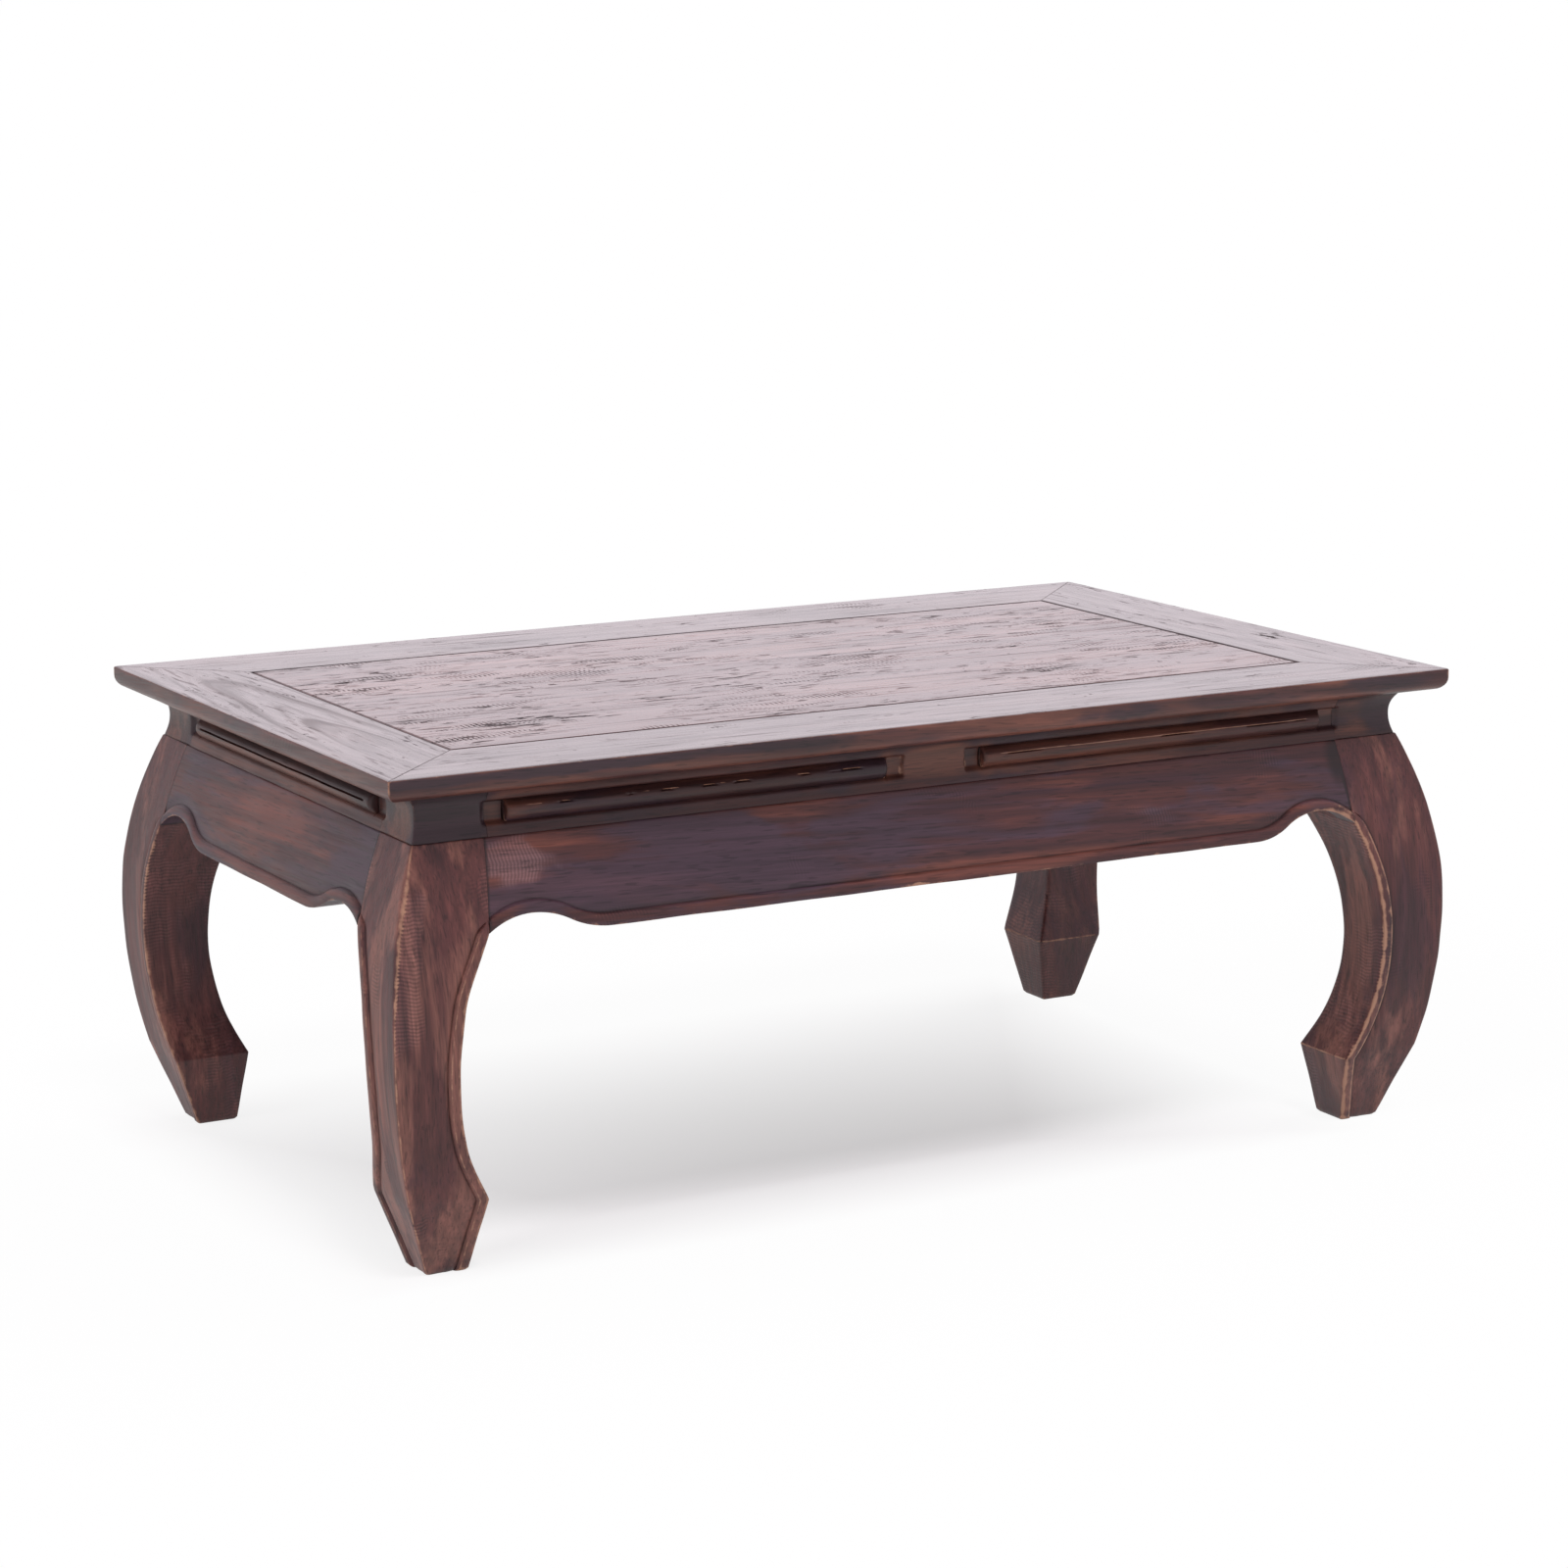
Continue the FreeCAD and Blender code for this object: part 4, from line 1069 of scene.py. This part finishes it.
barShape = dict(waistShape, piece="waist_rod_", node="waist_bar_", seed=(180.0, 4), shift=(79.0, 1.3),
                log=dict.fromkeys(barSplits, ((0, 340), (0.01, 0.01))), proud=8.6, curve=2.2, leastProud=0.05,
                sunk=0.2, taller=0.3, backSet=0.15, work=0.35, workSize=24, workFrom=0.5, endShare=0.6,
                endReach=3.0, endWear=0.55, endWearRun=(0.5, 3.0), openBy=0.3, startBy=12, fleckBy=0.35,
                fleckSize=14, fleckRun=(8, 20), sway=0.03, swaySize=45, footRun=(-0.6, -0.85), deepBite=0.3,
                topDarkening=0.5, topDarkeningRun=(0.75, 1.0), station=2.5, endSteps=[0.0, 0.3, 0.8, 1.6, 2.6])
barAxes = {}
barRuns = {}
barStations = {}
for bar in barSplits:
    side = bar.split("_")[0]
    barAxes[bar] = sideAxis[side]
    far = halfRun[side] - barShape["reach"] - barShape["barEnd"]
    near = barShape["centreHalf"] + barShape["barEnd"]
    start, end = -far, far
    if "_" in bar:
        rightHand = bar.endswith("right") == (side == "front")
        start, end = (near, far) if rightHand else (-far, -near)
    barRuns[bar] = (start, end)
    barStations[bar] = [start + step for step in barShape["endSteps"]]
    barStations[bar] += spread(start + 4, end - 4, int((end - start) / barShape["station"]))
    barStations[bar] += [end - step for step in reversed(barShape["endSteps"])]


def barOutline(bar, seed, along):
    # lens-shaped section with a split along it; heights are shares of the bar's half height
    shape = barShape
    split = barSplits[bar]
    middle = 0.5 * (pocketLow + pocketHigh)
    floor = waistFace(middle) + shape["pocketDepth"] - shape["sunk"]
    halfHigh = 0.5 * (pocketHigh - pocketLow) + shape["taller"]
    nearEnd = min(along - barRuns[bar][0], barRuns[bar][1] - along)
    rounded = math.sqrt(min(1.0, max(0.0, nearEnd) / shape["endReach"]))
    ending = shape["endShare"] + (1 - shape["endShare"]) * rounded
    ragged = wobble((along, 0, 0), split["patch"], seed)
    opened = smoothStep(split["start"], split["start"] + shape["startBy"], nearEnd)
    opened *= smoothStep(split["from"], split["from"] + shape["openBy"], ragged)
    flecked = wobble((along, 5, 0), shape["fleckSize"], seed + 6)
    flecks = smoothStep(split["fleckFrom"], split["fleckFrom"] + shape["fleckBy"], flecked)
    flecks *= smoothStep(*shape["fleckRun"], nearEnd)
    endWear = shape["endWear"] * (1 - smoothStep(*shape["endWearRun"], nearEnd))
    centre = split["lift"] + shape["sway"] * wobble((along, 0, 3), shape["swaySize"], seed + 8)
    lip = split["half"]
    middleShares = [centre + lip * step for step in (-2, -1, 0, 1, 2)]
    shares = spread(-1.0, middleShares[0], 9)[:-1] + middleShares + spread(middleShares[-1], 1.0, 9)[1:]
    section = []
    for share in shares:
        bite = split["depth"] * opened if share == centre else 0.0
        atLip = abs(share - centre - lip) < 0.001  # the upper lip of the split
        proud = shape["proud"] * (1 - abs(share) ** shape["curve"]) * ending
        worn = split["lipWear"] * max(opened, flecks) * atLip + endWear
        worn += split["footWear"] * smoothStep(*shape["footRun"], share)
        # painted shade along the bar's upper edge under the lip, and in the open split
        grime = shape["topDarkening"] * smoothStep(*shape["topDarkeningRun"], share)
        if bite > shape["deepBite"]:
            grime = max(grime, opened)
        inset = floor - max(shape["leastProud"], proud - bite)
        section.append((inset, middle + halfHigh * share, worn, grime))
    section.append((floor + shape["backSet"], middle, 0.0, 0.0))
    outline = []
    for inset, height, worn, grime in section:
        if inset < floor - shape["workFrom"]:
            inset += shape["work"] * wobble((along, inset, height), shape["workSize"], seed + 2)
        outline.append((sidePoint(bar.split("_")[0], along, inset, height), worn, grime))
    return outline


barPatches = {
    # the left bar's lower half is painted much paler, as lit from above
    "left": [((-466, 0, 358), (99, 200, 6), 2.4), ((-466, 0, 372), (99, 170, 6), 0.8)],
    "front_left": [((-230, -268, 370), (170, 99, 7), 0.6), ((-386, -268, 366), (14, 99, 12), 0.5)],
    "front_right": [((200, -268, 364), (160, 99, 12), 0.9)],
}
makePieces(barShape, barAxes, barPatches, barStations, barOutline)
print("waist bars laid")


# Studio: pale floor with a glow painted by place, white room, soft windows in front and on both sides
studio = {
    "floorColour": "#fefbfd", "floorHalf": 300.0, "white": "#ffffff",
    "roomLight": 0.48, "roomTint": "#fdf4fb",
    "glowLeast": 0.43, "glowMost": 0.95,
    "glowRuns": (("Y", (-0.2, 0.35)), ("Y", (-0.17, -0.3)), ("X", (0.13, 0.44)), ("X", (-0.25, -0.55))),
    "lamps": {"front_window": {"from": (0.0, -0.5, 1.0), "spread": 14.0, "power": 1.2},
              "left_window": {"from": (-1.0, -0.15, 0.9), "spread": 25.0, "power": 0.6},
              "right_window": {"from": (1.0, 0.3, 1.1), "spread": 30.0, "power": 0.5}},
}


def seenDirectly(add):
    # 1 for rays from the camera, straight, mirrored or through glass; and for straight ones alone
    rays = add("LightPath").node.outputs
    seen = add("larger", rays["Is Camera Ray"], rays["Is Glossy Ray"])
    return add("larger", seen, rays["Is Transmission Ray"]), rays["Is Camera Ray"]


floorForm = bmesh.new()
bmesh.ops.create_grid(floorForm, x_segments=1, y_segments=1, size=studio["floorHalf"])
floorMesh = bpy.data.meshes.new("studio_floor")
floorForm.to_mesh(floorMesh)
floorForm.free()
floor = bpy.data.objects.new("studio_floor", floorMesh)
bpy.context.scene.collection.objects.link(floor)

# Matt paper, white: seen directly it glows white by a share painted by place, most towards the back and sides
# and least under the table's front, which paints the shadow's shape; clear from below, so that the underside
# shows
floorPaint, add = newMaterial("paintedPaperFloor")
floorAxes = add("SeparateXYZ", add("place")).node.outputs
glowShare = studio["glowLeast"]
for axis, (glowFrom, glowTo) in studio["glowRuns"]:
    glow = add("ramp", floorAxes[axis], glowFrom, glowTo, studio["glowLeast"], studio["glowMost"])
    glowShare = add("larger", glowShare, glow)
glowShare = add("times", seenDirectly(add)[0], glowShare)
paper = add("BsdfDiffuse", studio["floorColour"])
paper = add("MixShader", glowShare, paper, add("Emission", studio["white"], 1.0))
fromBelow = add("NewGeometry").node.outputs["Backfacing"]
add("OutputMaterial", add("MixShader", fromBelow, paper, add("BsdfTransparent")))
floorMesh.materials.append(floorPaint)

room = bpy.data.worlds.new("white_room")
bpy.context.scene.world = room
room.use_nodes = True
room.node_tree.nodes.clear()
add = functools.partial(addNode, room.node_tree)
seen, straight = seenDirectly(add)
roomLevel = add("ramp", seen, 0.0, 1.0, studio["roomLight"], 1.0)
roomColour = add("blend", straight, studio["roomTint"], studio["white"])
add("OutputWorld", add("Background", roomColour, roomLevel))

for lampName, lampSet in studio["lamps"].items():
    lampData = bpy.data.lights.new(lampName, "SUN")
    lampData.angle = math.radians(lampSet["spread"])
    lampData.energy = lampSet["power"]
    lamp = bpy.data.objects.new(lampName, lampData)
    lamp.rotation_euler = (-Vector(lampSet["from"])).to_track_quat("-Z", "Y").to_euler()
    lamp.visible_glossy = False       # the wax mirrors the room, not the lamps
    bpy.context.scene.collection.objects.link(lamp)

# Camera at the photograph's place, turned a little about its axis as the photograph is
view = {"place": (-1.66232, -3.01917, 0.98697), "towards": (0.47441, 0.85838, -0.19525), "roll": -0.0046,
        "lens": 91.765, "sensor": 36.0}
cameraData = bpy.data.cameras.new("viewer")
cameraData.lens = view["lens"]
cameraData.sensor_width = view["sensor"]
camera = bpy.data.objects.new("viewer", cameraData)
camera.location = view["place"]
aim = Vector(view["towards"]).to_track_quat("-Z", "Y") @ Quaternion((0, 0, 1), view["roll"])
camera.rotation_euler = aim.to_euler()
bpy.context.scene.collection.objects.link(camera)
bpy.context.scene.camera = camera
bpy.context.scene.view_settings.view_transform = "Standard"
print("studio set up")
